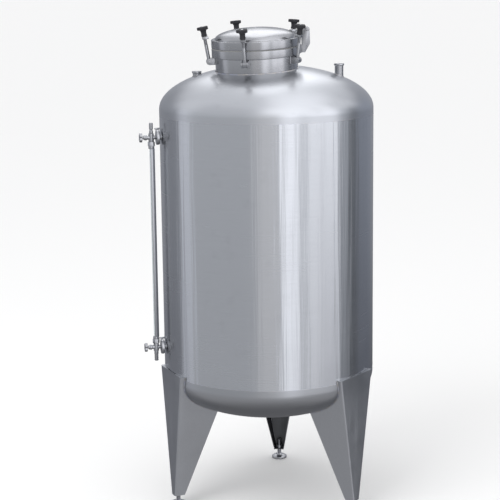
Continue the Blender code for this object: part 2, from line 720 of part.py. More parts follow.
def main():
    """Build the whole tank."""
    clear_scene()
    steel = material("brushed stainless", (0.56, 0.57, 0.60), 0.32, 1.0)
    bright = material("polished stainless", (0.66, 0.67, 0.69), 0.22, 1.0)
    rubber = material("gasket rubber", (0.82, 0.82, 0.80), 0.60, 0.0)
    plastic = material("black plastic", (0.02, 0.02, 0.022), 0.45, 0.0)
    glass = material("gauge glass", (0.75, 0.82, 0.85), 0.05, 0.0)
    root = empty("tank_axis", Matrix.Translation((TANK_AXIS_X, 0.0, 0.0)))
    envelope = cutter("tank_envelope", tank_envelope(), root)
    frame = empty("manway_frame", manway_frame(), root)
    bore = cylinder(NECK_RADIUS + FIT, -MANWAY_CUT, MANWAY_CUT, MANWAY_SIDES)
    holes = [cutter("manway_hole", bore, frame)]
    holes.append(nozzle_hole(root, "right_nozzle_hole", RIGHT_NOZZLE))
    holes.append(nozzle_hole(root, "left_nozzle_hole", LEFT_NOZZLE))
    make_shell(root, steel)
    make_heads(root, steel, holes)
    make_legs(root, steel, envelope)
    make_manway_base(frame, bright, rubber)
    make_lid(frame, bright)
    make_bolts(frame, bright, plastic)
    make_gauge(root, bright, glass, envelope)
    make_nozzles(root, bright)
    bpy.context.view_layer.update()


main()
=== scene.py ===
"""Finish of the beverage tank: modelled detail, materials, studio and camera.

The file is laid out as a Blender add-on and is run as a script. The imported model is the
fixed frame, and each operator below builds one piece or one group of like pieces on it.
"""

import json
import math

import bmesh
import bpy
from bpy.props import FloatProperty, FloatVectorProperty, IntProperty, PointerProperty
from mathutils import Matrix, Vector


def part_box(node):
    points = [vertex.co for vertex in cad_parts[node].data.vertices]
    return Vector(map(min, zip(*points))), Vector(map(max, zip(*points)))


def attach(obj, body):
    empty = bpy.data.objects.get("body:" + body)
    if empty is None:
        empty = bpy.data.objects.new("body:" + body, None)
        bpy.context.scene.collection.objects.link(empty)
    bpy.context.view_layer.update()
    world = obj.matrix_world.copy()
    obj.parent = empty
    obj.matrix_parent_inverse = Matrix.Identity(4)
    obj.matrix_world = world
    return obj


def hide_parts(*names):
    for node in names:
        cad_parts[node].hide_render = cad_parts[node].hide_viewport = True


bl_info = {
    "name": "Beverage Tank",
    "version": (1, 0, 0),
    "blender": (4, 5, 0),
    "location": "View3D > Sidebar > Tank",
    "description": "Builds a stainless beverage tank with its manway, level gauge and legs",
    "category": "Object",
}

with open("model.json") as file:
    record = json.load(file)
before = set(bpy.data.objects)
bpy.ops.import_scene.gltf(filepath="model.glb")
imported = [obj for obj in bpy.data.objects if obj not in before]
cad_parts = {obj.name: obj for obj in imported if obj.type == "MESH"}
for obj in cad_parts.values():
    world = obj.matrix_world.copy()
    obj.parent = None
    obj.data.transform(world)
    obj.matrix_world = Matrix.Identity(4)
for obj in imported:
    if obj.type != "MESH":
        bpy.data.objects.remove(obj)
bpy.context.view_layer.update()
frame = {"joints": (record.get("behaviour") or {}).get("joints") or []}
JOINTS = {joint["name"]: joint for joint in frame["joints"]}
BOLT_COUNT = sum(name.startswith("swing_bolt") for name in JOINTS)

SHELL_LOW, SHELL_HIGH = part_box("shell")
AXIS_X = (SHELL_LOW.x + SHELL_HIGH.x) / 2
SOLID_RADIUS = (SHELL_HIGH.x - SHELL_LOW.x) / 2
LOWER_SEAM = SHELL_LOW.z
UPPER_SEAM = SHELL_HIGH.z
BOWL_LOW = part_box("bottom_head")[0].z

GROUP_PREFIX = "tank_"

# Distance by which pieces that touch on the real tank stand apart in the model
FIT = 0.0003
# Distance between the drops of a weld bead: on small pieces, on large ones and on the seams
FINE_RIPPLE = 0.004
WELD_RIPPLE = 0.005
SEAM_RIPPLE = 0.009
# Angles between two faces above which an edge is shaded sharp, and is bevelled
SHARP_ANGLE = math.radians(32.0)
BEVEL_ANGLE = math.radians(28.0)
# A corner whose half angle is wider than this is left as it is
FLAT_CORNER = math.radians(80.0)
# What counts as no distance at all
TINY = 1e-6
# Height of the brushed lines in the steel
GRAIN_RELIEF = 0.00002
# Radius of the lid's hinge arm and ears about their pin
KNUCKLE = 0.0105
# Reach of a nozzle's lip over its pipe
NOZZLE_LIP = 0.0035
# Turn of the shell's upright seam about the tank's axis, in degrees
SIDE_SEAM_TURN = 62.0
LEG_AZIMUTHS = {"left": -60.0, "right": 60.0, "rear": 180.0}


def length(name, description, default):
    """Return a size in metres that a user may change."""
    return FloatProperty(name=name, description=description, default=default, unit="LENGTH")


def shade(name, description, default):
    """Return a colour that a user may change."""
    return FloatVectorProperty(name=name, description=description, default=default, subtype="COLOR")


class TankSizes(bpy.types.PropertyGroup):
    """Sizes of the tank's body and legs."""

    skin: length("Skin", "How far the finished skin lies inside the solid's outline", 0.0005)
    wall: length("Wall", "Sheet thickness", 0.003)
    flange: length("Flange", "Straight flange of each dished end", 0.025)
    sides: IntProperty(name="Sides", description="Steps round the tank", default=240)
    weld: length("Weld", "Half width of a seam weld", 0.0032)
    leg_plate: length("Leg plate", "Thickness of a leg", 0.004)
    leg_bend: length("Leg bend", "Outer bend radius of a leg", 0.009)
    leg_half_top: length("Leg top", "Half width of a leg's top", 0.132)
    leg_half_foot: length("Leg foot", "Half width of a leg's foot", 0.024)
    leg_depth: length("Leg depth", "Flange depth at a leg's foot", 0.050)
    leg_rise: FloatProperty(
        name="Leg rise", description="Growth of the flange depth with height", default=0.35)
    cap_start: length("Cap start", "Where a leg's cap begins beside its middle", 0.050)
    cap_depth: length("Cap depth", "Reach of a leg's cap behind its web", 0.032)


class ManwaySizes(bpy.types.PropertyGroup):
    """Sizes of the manway, in its own frame on the dome."""

    azimuth: FloatProperty(name="Azimuth", description="Way off centre, in degrees", default=-30.0)
    offset: length("Offset", "Distance off the tank's axis", 0.070)
    neck: length("Neck", "Neck radius", 0.190)
    neck_foot: length("Neck foot", "Lower end of the neck", -0.035)
    ring: length("Ring", "Clamping ring radius", 0.205)
    ring_foot: length("Ring foot", "Ring's underside", 0.051)
    ring_head: length("Ring head", "Ring's upper face", 0.087)
    gasket: length("Gasket", "Gasket thickness", 0.003)
    lid_top: length("Lid rim top", "Top of the lid's rim", 0.129)
    lid_rim: length("Lid rim", "Width of the lid's rim", 0.012)
    dome: length("Dome", "Radius of the lid's dome", 0.188)
    dome_rise: length("Dome rise", "Height of the lid's dome", 0.047)
    sides: IntProperty(name="Sides", description="Steps round the manway", default=160)


class GaugeSizes(bpy.types.PropertyGroup):
    """Sizes of the level gauge, along its outward axis."""

    stub: length("Stub", "Radius of a stub on the shell", 0.0125)
    clamp_start: length("Clamp start", "Near face of a clamp", 0.506)
    clamp_end: length("Clamp end", "Far face of a clamp", 0.522)
    clamp: length("Clamp", "Radius of a clamp", 0.036)
    reach: length("Reach", "Distance of the glass from the tank's axis", 0.544)
    bar: length("Bar", "Radius of a valve's bar", 0.0095)
    bar_end: length("Bar end", "Outer end of a valve's bar", 0.580)
    glass: length("Glass", "Radius of the glass", 0.008)
    guard: length("Guard", "Radius of the guard", 0.015)
    slot: FloatProperty(name="Slot", description="Opening of the guard in degrees", default=120.0)


class TankColours(bpy.types.PropertyGroup):
    """Base colours of the finishes."""

    sheet: shade("Sheet", "Brushed sheet steel", (0.58, 0.595, 0.62))
    bright: shade("Fittings", "Finely brushed fittings", (0.44, 0.445, 0.46))
    weld: shade("Weld", "Weld metal", (0.50, 0.50, 0.51))
    rubber: shade("Rubber", "Gasket rubber", (0.06, 0.06, 0.065))
    plastic: shade("Plastic", "Moulded black plastic", (0.012, 0.012, 0.014))
    glass: shade("Glass", "Gauge glass", (0.82, 0.90, 0.92))


class StudioSettings(bpy.types.PropertyGroup):
    """Camera and light."""

    azimuth: FloatProperty(name="Azimuth", description="Camera's turn from the front in degrees", default=6.1)
    distance: length("Distance", "Camera's distance", 7.0)
    height: length("Height", "Camera's height", 2.577)
    tilt: FloatProperty(name="Tilt", description="Downward tilt in degrees", default=11.15)
    yaw: FloatProperty(name="Yaw", description="Turn to the right in degrees", default=-0.685)
    roll: FloatProperty(name="Roll", description="Roll in degrees", default=-0.70)
    lens: FloatProperty(name="Lens", description="Focal length in millimetres", default=108.0)
    sky: FloatProperty(name="Sky", description="Brightness overhead", default=1.0)
    ground: FloatProperty(name="Ground", description="Brightness of what lies low", default=0.42)
    floor: shade("Floor", "Pale floor", (0.90, 0.90, 0.90))


def sizes():
    """Return the scene's settings."""
    return bpy.context.scene.tank


def facing(azimuth):
    """Return a turn that points +X along an azimuth, measured from the front."""
    return Matrix.Rotation(math.radians(azimuth - 90.0), 4, "Z")


def tank_place():
    """Return the place of the tank's axis on the floor."""
    return Matrix.Translation((AXIS_X, 0.0, 0.0))


def dome_radius():
    """Return the radius of the finished shell."""
    return SOLID_RADIUS - sizes().body.skin


def head_depth():
    """Return the depth of a dished end below its flange."""
    return LOWER_SEAM - BOWL_LOW - sizes().body.flange - sizes().body.skin


def dome_height(reach, inset=0.0):
    """Return the height of the top dome over the floor at a distance from its axis."""
    wide = dome_radius() - inset
    share = min(reach / wide, 1.0)
    return UPPER_SEAM + sizes().body.flange + (head_depth() - inset) * math.sqrt(1.0 - share * share)


def manway_place():
    """Return the place of the manway's frame, square to the dome."""
    manway = sizes().manway
    angle = math.radians(manway.azimuth)
    rise = head_depth() * math.sqrt(1.0 - (manway.offset / SOLID_RADIUS) ** 2)
    level = UPPER_SEAM + sizes().body.flange + sizes().body.skin + rise
    tilt = math.atan2(manway.offset / SOLID_RADIUS**2, rise / head_depth() ** 2)
    turn = facing(manway.azimuth)
    lean = turn @ Matrix.Rotation(tilt, 4, "Y") @ turn.inverted()
    spot = (AXIS_X + manway.offset * math.sin(angle), -manway.offset * math.cos(angle), level)
    return Matrix.Translation(spot) @ lean


def axes_place(origin, y_axis, z_axis):
    """Return a frame from its origin and its Y and Z directions."""
    y_way = Vector(y_axis).normalized()
    z_way = Vector(z_axis).normalized()
    x_way = y_way.cross(z_way).normalized()
    z_way = x_way.cross(y_way)
    place = Matrix((x_way, y_way, z_way)).transposed().to_4x4()
    place.translation = Vector(origin)
    return place


def bolt_place(number):
    """Return the frame of a swing bolt: Y along its pin, Z along its rod."""
    pivot = JOINTS[f"swing_bolt_{number}_pivot"]
    turn = JOINTS[f"star_knob_{number}_turn"]
    return axes_place(pivot["pos_m"], pivot["axis"], turn["axis"])


def upright_bolt_place(number):
    """Return the frame of a bolt's lug, square to the manway."""
    pivot = JOINTS[f"swing_bolt_{number}_pivot"]
    return axes_place(pivot["pos_m"], pivot["axis"], manway_place().col[2].to_3d())


def hinge_place():
    """Return the frame of the lid's hinge: Y along its pin, Z along the manway's axis."""
    hinge = JOINTS["lid_hinge"]
    return axes_place(hinge["pos_m"], hinge["axis"], manway_place().col[2].to_3d())


def wheel_place(side):
    """Return the frame of a gauge handwheel: Z along its spindle, X down."""
    joint = JOINTS[f"{side}_handwheel_turn"]
    way = Vector(joint["axis"])
    return axes_place(joint["pos_m"], way.cross((0.0, 0.0, -1.0)), way)


def gauge_place(level):
    """Return the frame of the gauge on the tank's axis: X outwards, Z up."""
    way = Vector(JOINTS["upper_handwheel_turn"]["axis"])
    return axes_place((AXIS_X, 0.0, level), Vector((0.0, 0.0, 1.0)).cross(way), (0.0, 0.0, 1.0))


def gauge_level(side):
    """Return the height of a gauge valve."""
    return JOINTS[f"{side}_handwheel_turn"]["pos_m"][2]


def new_object(name, data):
    """Return a new object in the scene."""
    obj = bpy.data.objects.new(name, data)
    bpy.context.scene.collection.objects.link(obj)
    return obj


def polar(radius, angle):
    """Return the point of a circle at an angle."""
    return radius * math.cos(angle), radius * math.sin(angle)


def arc(centre, radius, first, last, steps):
    """Return points along an arc, by angle in degrees from +X."""
    angles = [math.radians(first + (last - first) * k / steps) for k in range(steps + 1)]
    return [(centre[0] + radius * math.cos(a), centre[1] + radius * math.sin(a)) for a in angles]


def rounded(points, radius, steps=3, keep=()):
    """Round the corners of a closed outline, apart from those on the axis and those kept."""
    result = []
    count = len(points)
    for k, point in enumerate(points):
        here = Vector(point)
        back = Vector(points[k - 1]) - here
        ahead = Vector(points[(k + 1) % count]) - here
        room = min(back.length, ahead.length) * 0.45
        half = back.angle(ahead, 0.0) / 2
        if k in keep or here.x < TINY or room < TINY or half > FLAT_CORNER:
            result.append(tuple(here))
            continue
        cut = min(radius / math.tan(half), room)
        start = here + back.normalized() * cut
        end = here + ahead.normalized() * cut
        for step in range(steps + 1):
            t = step / steps
            spot = start * (1 - t) ** 2 + here * (2 * t * (1 - t)) + end * t**2
            result.append(tuple(spot))
    return result


def circle_points(radius, height, sides=180):
    """Return a closed circle as a path."""
    turn = 2 * math.pi / sides
    return [(*polar(radius, turn * k), height) for k in range(sides)]


def ring_points(bm, radius, height, sides):
    """Add a ring of points, or one point on the axis."""
    if radius < TINY:
        return [bm.verts.new((0.0, 0.0, height))]
    return [bm.verts.new(point) for point in circle_points(radius, height, sides)]


def bridge(bm, first, second):
    """Join two rings of points with faces."""
    count = max(len(first), len(second))
    if count == 1:
        return
    for k in range(count):
        after = (k + 1) % count
        corners = [first[k % len(first)], first[after % len(first)]]
        corners += [second[after % len(second)], second[k % len(second)]]
        bm.faces.new(list(dict.fromkeys(corners)))


def finish_mesh(bm, name):
    """Turn a bmesh into a mesh whose faces point out."""
    bmesh.ops.recalc_face_normals(bm, faces=bm.faces)
    mesh = bpy.data.meshes.new(name)
    bm.to_mesh(mesh)
    bm.free()
    return mesh


def turned(outline, sides):
    """Turn a closed outline of (radius, height) points about Z."""
    bm = bmesh.new()
    rings = [ring_points(bm, radius, height, sides) for radius, height in outline]
    for first, second in zip(rings, rings[1:] + rings[:1]):
        bridge(bm, first, second)
    return finish_mesh(bm, "turned")


def stacked(sections):
    """Join closed sections of (x, y, z) points, and cap the first and the last."""
    bm = bmesh.new()
    rings = [[bm.verts.new(point) for point in section] for section in sections]
    for first, second in zip(rings, rings[1:]):
        bridge(bm, first, second)
    bm.faces.new(rings[0])
    bm.faces.new(rings[-1])
    return finish_mesh(bm, "stacked")


def prism(points, start, end):
    """Extrude a flat outline along Z."""
    return stacked([[(x, y, start) for x, y in points], [(x, y, end) for x, y in points]])


def bar(radius, start, end, sides=32, edge=0.0006):
    """Return a round bar along Z with softened ends."""
    outline = [(0.0, start), (radius, start), (radius, end), (0.0, end)]
    return turned(rounded(outline, edge), sides)


def turn_mesh(mesh, degrees, axis):
    """Turn a mesh about an axis through its origin."""
    mesh.transform(Matrix.Rotation(math.radians(degrees), 4, axis))
    return mesh


def across(mesh):
    """Turn a mesh built along Z so that it runs along Y, its X kept."""
    return turn_mesh(mesh, 90.0, "X")


def outwards(mesh):
    """Turn a mesh built along Z so that it runs along X."""
    return turn_mesh(mesh, 90.0, "Y")


def moved(mesh, x=0.0, y=0.0, z=0.0):
    """Shift a mesh."""
    mesh.transform(Matrix.Translation((x, y, z)))
    return mesh


def softened(mesh, width):
    """Bevel the sharp edges of a mesh."""
    bm = bmesh.new()
    bm.from_mesh(mesh)
    sharp = [e for e in bm.edges if e.is_manifold and e.calc_face_angle(0.0) > BEVEL_ANGLE]
    bmesh.ops.bevel(
        bm, geom=sharp, offset=width, offset_type="OFFSET", segments=2, profile=0.5,
        affect="EDGES", clamp_overlap=True)
    bm.to_mesh(mesh)
    bm.free()
    return mesh


def plate(points, start, end, edge=0.0008):
    """Return a softened plate cut to (x, z) points that spans Y from start to end."""
    return softened(across(prism(points, -end, -start)), edge)


def block(low, high, edge=0.001):
    """Return a softened box between two corners."""
    corners = [(low[0], low[1]), (high[0], low[1]), (high[0], high[1]), (low[0], high[1])]
    return softened(prism(corners, low[2], high[2]), edge)


def nut(radius, start, end):
    """Return a hexagonal nut with turned corners at both faces."""
    corners = arc((0.0, 0.0), radius, 0.0, 300.0, 5)
    body = softened(prism(corners, start, end), 0.0006)
    bevel = radius * 0.12
    outline = [(0.0, start), (radius - bevel, start), (radius, start + bevel * 0.6)]
    outline += [(radius, end - bevel * 0.6), (radius - bevel, end), (0.0, end)]
    return fused([body], meets=[turned(outline, 48)])


def threaded(radius, start, end, pitch, depth):
    """Return a bar along Z whose side is cut with fine grooves."""
    count = max(2, int((end - start) / pitch))
    step = (end - start) / count
    root = radius - depth
    outline = [(0.0, start)]
    for k in range(count):
        base = start + k * step
        outline += [(root, base + 0.05 * step), (radius, base + 0.40 * step)]
        outline += [(radius, base + 0.55 * step), (root, base + 0.90 * step)]
    return turned(outline + [(0.0, end)], 28)


def bead(path, radius, ripple=FINE_RIPPLE, closed=False):
    """Return a weld bead: a six-sided tube along a path whose width swells with each drop."""
    points = resampled(path, ripple / 3, closed)
    count = len(points)
    bm = bmesh.new()
    rings = []
    for k, here in enumerate(points):
        before = points[k - 1] if closed or k else here
        after = points[(k + 1) % count] if closed or k < count - 1 else here
        way = (after - before).normalized()
        side = way.orthogonal().normalized() if not rings else (side - way * side.dot(way)).normalized()
        other = way.cross(side)
        swell = radius * (0.90 + 0.14 * math.sin(2 * math.pi * k / 3) + 0.05 * math.sin(k * 0.37))
        ring = []
        for j in range(6):
            angle = 2 * math.pi * j / 6
            ring.append(bm.verts.new(here + (side * math.cos(angle) + other * math.sin(angle)) * swell))
        rings.append(ring)
    for first, second in zip(rings, rings[1:]):
        bridge(bm, first, second)
    if closed:
        turn = closest_turn(rings[-1], rings[0])
        bridge(bm, rings[-1], rings[0][turn:] + rings[0][:turn])
    else:
        bm.faces.new(rings[0])
        bm.faces.new(rings[-1])
    return finish_mesh(bm, "bead")


def closest_turn(last, first):
    """Return how far the first ring is turned against the last."""
    return min(range(len(first)), key=lambda k: (first[k].co - last[0].co).length)


def resampled(path, spacing, closed):
    """Return points at even spacing along a path."""
    points = [Vector(p) for p in path]
    if closed:
        points.append(points[0].copy())
    lengths = [0.0]
    for first, second in zip(points, points[1:]):
        lengths.append(lengths[-1] + (second - first).length)
    count = max(3, round(lengths[-1] / spacing))
    result = []
    index = 0
    for k in range(count if closed else count + 1):
        target = lengths[-1] * k / count
        while index < len(points) - 2 and lengths[index + 1] < target:
            index += 1
        span = max(lengths[index + 1] - lengths[index], 1e-9)
        result.append(points[index].lerp(points[index + 1], (target - lengths[index]) / span))
    return result


def tube_outline(inner, outer, low, high):
    """Return the outline of a plain tube, to be turned."""
    return [(inner, low), (outer, low), (outer, high), (inner, high)]


def fused(meshes, cuts=(), meets=()):
    """Unite solids, take the cuts out and keep what lies in the meets."""
    base = new_object("base", meshes[0])
    steps = [(m, "UNION") for m in meshes[1:]] + [(m, "DIFFERENCE") for m in cuts]
    steps += [(m, "INTERSECT") for m in meets]
    tools = []
    for mesh, operation in steps:
        tool = new_object("tool", mesh)
        modifier = base.modifiers.new(operation, "BOOLEAN")
        modifier.operation = operation
        modifier.solver = "EXACT"
        modifier.object = tool
        tools.append(tool)
    evaluated = base.evaluated_get(bpy.context.evaluated_depsgraph_get())
    result = bpy.data.meshes.new_from_object(evaluated)
    for obj in tools + [base]:
        bpy.data.objects.remove(obj, do_unlink=True)
    return result


def together(meshes):
    """Put several closed meshes into one."""
    bm = bmesh.new()
    for mesh in meshes:
        bm.from_mesh(mesh)
    mesh = bpy.data.meshes.new("together")
    bm.to_mesh(mesh)
    bm.free()
    return mesh


def show(name, mesh, finish, place, nodes=(), body="tank"):
    """Make one piece of the tank, riding on its body and standing for its nodes."""
    mesh.name = name
    mesh.materials.clear()
    mesh.materials.append(bpy.data.materials[finish])
    mesh.shade_smooth()
    mesh.set_sharp_from_angle(angle=SHARP_ANGLE)
    obj = new_object(name, mesh)
    obj.matrix_world = place
    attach(obj, body)
    if nodes:
        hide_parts(*nodes)
    return obj


def new_group(name, inputs, outputs):
    """Start a shader node group with named sockets; what it puts out are plain numbers."""
    group = bpy.data.node_groups.new(GROUP_PREFIX + name, "ShaderNodeTree")
    for label, kind, default in inputs:
        socket = group.interface.new_socket(label, in_out="INPUT", socket_type=kind)
        if default is not None:
            socket.default_value = default
    for label in outputs:
        group.interface.new_socket(label, in_out="OUTPUT", socket_type="NodeSocketFloat")
    return group, group.nodes.new("NodeGroupInput"), group.nodes.new("NodeGroupOutput")


def feed(tree, socket, value):
    """Link a socket to the one that feeds it, or set it to a number, a vector or a colour."""
    if isinstance(value, bpy.types.NodeSocket):
        tree.links.new(value, socket)
    elif socket.type == "RGBA":
        socket.default_value = (*value, 1.0)
    else:
        socket.default_value = value


def operation_node(tree, kind, operation, first, second):
    """Add a node that works on one or two sockets or plain values."""
    node = tree.nodes.new(kind)
    node.operation = operation
    feed(tree, node.inputs[0], first)
    if second is not None:
        feed(tree, node.inputs[1], second)
    return node


def math_node(tree, operation, first, second=None):
    """Return the result of a Math node."""
    return operation_node(tree, "ShaderNodeMath", operation, first, second).outputs["Value"]


def vector_node(tree, operation, first, second=None, result="Vector"):
    """Return the result of a Vector Math node."""
    return operation_node(tree, "ShaderNodeVectorMath", operation, first, second).outputs[result]


def map_range(tree, value, source, target, smooth=False):
    """Add a Map Range node between two spans."""
    node = tree.nodes.new("ShaderNodeMapRange")
    node.interpolation_type = "SMOOTHSTEP" if smooth else "LINEAR"
    tree.links.new(value, node.inputs["Value"])
    for name, limit in zip(("From Min", "From Max", "To Min", "To Max"), (*source, *target)):
        node.inputs[name].default_value = limit
    return node.outputs["Result"]


def fade(tree, value, start, end):
    """Return a smooth rise from 0 to 1 while a value goes from a start to an end."""
    return map_range(tree, value, (start, end), (0.0, 1.0), smooth=True)


def mix_colour(tree, factor, first, second, blend="MIX"):
    """Add a colour Mix node fed by sockets, numbers or colours."""
    node = tree.nodes.new("ShaderNodeMix")
    node.data_type = "RGBA"
    node.blend_type = blend
    # A Mix node has a set of sockets for each kind of data: these are the ones for colours
    for index, value in ((0, factor), (6, first), (7, second)):
        feed(tree, node.inputs[index], value)
    return node.outputs[2]


def noise(tree, vector, scale, detail=2.0, roughness=0.5):
    """Add a Noise texture."""
    node = tree.nodes.new("ShaderNodeTexNoise")
    settings = {"Vector": vector, "Scale": scale, "Detail": detail, "Roughness": roughness}
    for name, value in settings.items():
        feed(tree, node.inputs[name], value)
    return node.outputs["Fac"]


def bumped(tree, height, distance, under=None):
    """Return the normal of a surface raised by a height, over the normal under it."""
    node = tree.nodes.new("ShaderNodeBump")
    node.inputs["Distance"].default_value = distance
    tree.links.new(height, node.inputs["Height"])
    if under is not None:
        tree.links.new(under, node.inputs["Normal"])
    return node.outputs["Normal"]


def grain_group():
    """Brushed grain: fine lines along a direction, with soft clusters of longer scratches."""
    inputs = (("Vector", "NodeSocketVector", None), ("Stretch", "NodeSocketVector", (3.0, 3.0, 900.0)))
    group, given, result = new_group("grain", inputs, ("Line", "Scratch"))
    scaled = vector_node(group, "MULTIPLY", given.outputs["Vector"], given.outputs["Stretch"])
    lines = noise(group, scaled, 1.0, detail=3.0, roughness=0.6)
    coarse = noise(group, scaled, 0.23, detail=1.0)
    group.links.new(lines, result.inputs["Line"])
    group.links.new(fade(group, coarse, 0.60, 0.74), result.inputs["Scratch"])


def cloud_group():
    """Slow change over a surface, as where hands, water and polish have passed."""
    inputs = (("Vector", "NodeSocketVector", None), ("Scale", "NodeSocketFloat", 4.0))
    group, given, result = new_group("cloud", inputs, ("Cloud", "Smudge"))
    wide = noise(group, given.outputs["Vector"], given.outputs["Scale"], detail=3.0, roughness=0.55)
    finer = math_node(group, "MULTIPLY", given.outputs["Scale"], 4.5)
    marks = noise(group, given.outputs["Vector"], finer, detail=4.0, roughness=0.65)
    group.links.new(wide, result.inputs["Cloud"])
    group.links.new(fade(group, marks, 0.56, 0.72), result.inputs["Smudge"])


def place_group(tree, name, vector, **values):
    """Place a shared node group in a material and set its inputs."""
    node = tree.nodes.new("ShaderNodeGroup")
    node.node_tree = bpy.data.node_groups[GROUP_PREFIX + name]
    tree.links.new(vector, node.inputs["Vector"])
    for label, value in values.items():
        node.inputs[label].default_value = value
    return node


def new_material(name):
    """Start a material and return its tree, its shader and object coordinates."""
    mat = bpy.data.materials.new(name)
    mat.use_nodes = True
    tree = mat.node_tree
    coordinates = tree.nodes.new("ShaderNodeTexCoord")
    return tree, tree.nodes["Principled BSDF"], coordinates.outputs["Object"]


def surfaced(tree, shader, base, gloss, normal=None):
    """Feed a shader its base colour, its roughness and, where there is one, its normal."""
    tree.links.new(base, shader.inputs["Base Color"])
    tree.links.new(gloss, shader.inputs["Roughness"])
    if normal is not None:
        tree.links.new(normal, shader.inputs["Normal"])


def toned(colour, factor, lift=0.0):
    """Return a colour made darker or lighter."""
    return tuple(min(1.0, channel * factor + lift) for channel in colour)


def ringed(tree, vector, way):
    """Return coordinates in which brushed lines run round Z.

    They hold the turn about Z, and the place along a piece whose outline climbs as it
    comes in (way -1) or as it goes out (way 1).
    """
    parts = tree.nodes.new("ShaderNodeSeparateXYZ")
    tree.links.new(vector, parts.inputs[0])
    flat = vector_node(tree, "MULTIPLY", vector, (1.0, 1.0, 0.0))
    reach = vector_node(tree, "LENGTH", flat, result="Value")
    outward = math_node(tree, "MULTIPLY", reach, way)
    along = tree.nodes.new("ShaderNodeCombineXYZ")
    tree.links.new(math_node(tree, "ADD", parts.outputs["Z"], outward), along.inputs["Z"])
    return vector_node(tree, "ADD", vector_node(tree, "NORMALIZE", flat), along.outputs[0])


def rolled_sway(tree, around, distance):
    """Return the normal of sheet that rolling left very slightly uneven, in upright streaks."""
    scaled = vector_node(tree, "MULTIPLY", around, (20.0, 20.0, 1.1))
    return bumped(tree, noise(tree, scaled, 1.0), distance)


def steel(name, colour, stretch, gloss_range, turned_grain=0.0, tone=0.10, cloud=4.0, rings=0.0, sway=0.0):
    """Make a brushed steel whose grain, tone and gloss change over the surface."""
    roughness, spread = gloss_range
    tree, shader, vector = new_material(name)
    lines = ringed(tree, vector, rings) if rings else vector
    grain = place_group(tree, "grain", lines, Stretch=stretch)
    clouds = place_group(tree, "cloud", vector, Scale=cloud)
    darker = toned(colour, 1.0 - tone)
    lighter = toned(colour, 1.0 + tone * 0.6)
    base = mix_colour(tree, grain.outputs["Line"], darker, lighter)
    smudges = math_node(tree, "MULTIPLY", clouds.outputs["Smudge"], 0.35)
    base = mix_colour(tree, smudges, base, toned(colour, 0.90))
    gloss = map_range(tree, clouds.outputs["Cloud"], (0.3, 0.7), (roughness - spread, roughness + spread))
    gloss = math_node(tree, "ADD", gloss, math_node(tree, "MULTIPLY", grain.outputs["Scratch"], spread))
    under = rolled_sway(tree, lines, sway) if sway else None
    surfaced(tree, shader, base, gloss, bumped(tree, grain.outputs["Line"], GRAIN_RELIEF, under))
    shader.inputs["Metallic"].default_value = 1.0
    if turned_grain:
        tangent = tree.nodes.new("ShaderNodeTangent")
        tangent.direction_type = "RADIAL"
        tangent.axis = "Z"
        tree.links.new(tangent.outputs["Tangent"], shader.inputs["Tangent"])
        shader.inputs["Anisotropic"].default_value = turned_grain
        shader.inputs["Anisotropic Rotation"].default_value = 0.25


def make_materials():
    """Build the shared groups and every finish of the tank."""
    colours = sizes().colours
    grain_group()
    cloud_group()
    sheet = tuple(colours.sheet)
    bright = tuple(colours.bright)
    round_lines, long_lines, fine_lines = (5.0, 5.0, 700.0), (420.0, 420.0, 6.0), (9.0, 9.0, 1500.0)
    # Each steel has its roughness with its spread, and then what sets it apart
    steel("shell_sheet", sheet, round_lines, (0.24, 0.03), turned_grain=0.75, cloud=2.6, rings=1.0,
          sway=0.0014)
    steel("head_sheet", sheet, round_lines, (0.31, 0.03), turned_grain=0.45, tone=0.06, cloud=3.5,
          rings=-1.0)
    # Painted shade: the lower end's sheet is the same sheet darkened to 0.82 for the underside of the tank.
    steel("lower_shaded_sheet", toned(sheet, 0.82), round_lines, (0.34, 0.03), turned_grain=0.3, tone=0.06,
          cloud=3.5, rings=1.0)
    steel("leg_sheet", toned(sheet, 0.86), long_lines, (0.36, 0.05), cloud=7.0)
    # Painted shade: this sheet, darkened to 0.22, stands for the shade inside each leg's fold; its higher
    # roughness is a duller finish.
    steel("leg_fold_shade", toned(sheet, 0.22), long_lines, (0.48, 0.06), cloud=9.0)
    steel("manway_sheet", toned(bright, 0.945), (4.0, 4.0, 1500.0), (0.24, 0.04), turned_grain=0.4,
          cloud=18.0, rings=-1.0)
    steel("turned_fitting", bright, fine_lines, (0.24, 0.04), turned_grain=0.4, cloud=18.0)
    steel("plain_fitting", bright, (260.0, 260.0, 260.0), (0.30, 0.06), tone=0.08, cloud=25.0)
    weld_material(tuple(colours.weld))
    rubber_material(tuple(colours.rubber))
    plastic_material(tuple(colours.plastic))
    glass_material(tuple(colours.glass))


def weld_material(colour):
    """Weld metal: rough, with straw and blue heat tints in patches."""
    tree, shader, vector = new_material("weld_metal")
    clouds = place_group(tree, "cloud", vector, Scale=38.0)
    straw = tuple(c * f for c, f in zip(colour, (1.03, 0.98, 0.90)))
    blue = tuple(c * f for c, f in zip(colour, (0.86, 0.90, 1.02)))
    base = mix_colour(tree, fade(tree, clouds.outputs["Cloud"], 0.35, 0.65), straw, blue)
    gloss = map_range(tree, clouds.outputs["Smudge"], (0.0, 1.0), (0.30, 0.50))
    surfaced(tree, shader, base, gloss, bumped(tree, noise(tree, vector, 420.0, detail=3.0), 0.0003))
    shader.inputs["Metallic"].default_value = 1.0


def rubber_material(colour):
    """Gasket rubber, dusty and softly creased."""
    tree, shader, vector = new_material("gasket_rubber")
    clouds = place_group(tree, "cloud", vector, Scale=30.0)
    dust = math_node(tree, "MULTIPLY", clouds.outputs["Cloud"], 0.8)
    base = mix_colour(tree, dust, colour, toned(colour, 1.6, 0.02))
    gloss = map_range(tree, clouds.outputs["Smudge"], (0.0, 1.0), (0.55, 0.72))
    surfaced(tree, shader, base, gloss, bumped(tree, noise(tree, vector, 900.0), 0.0001))


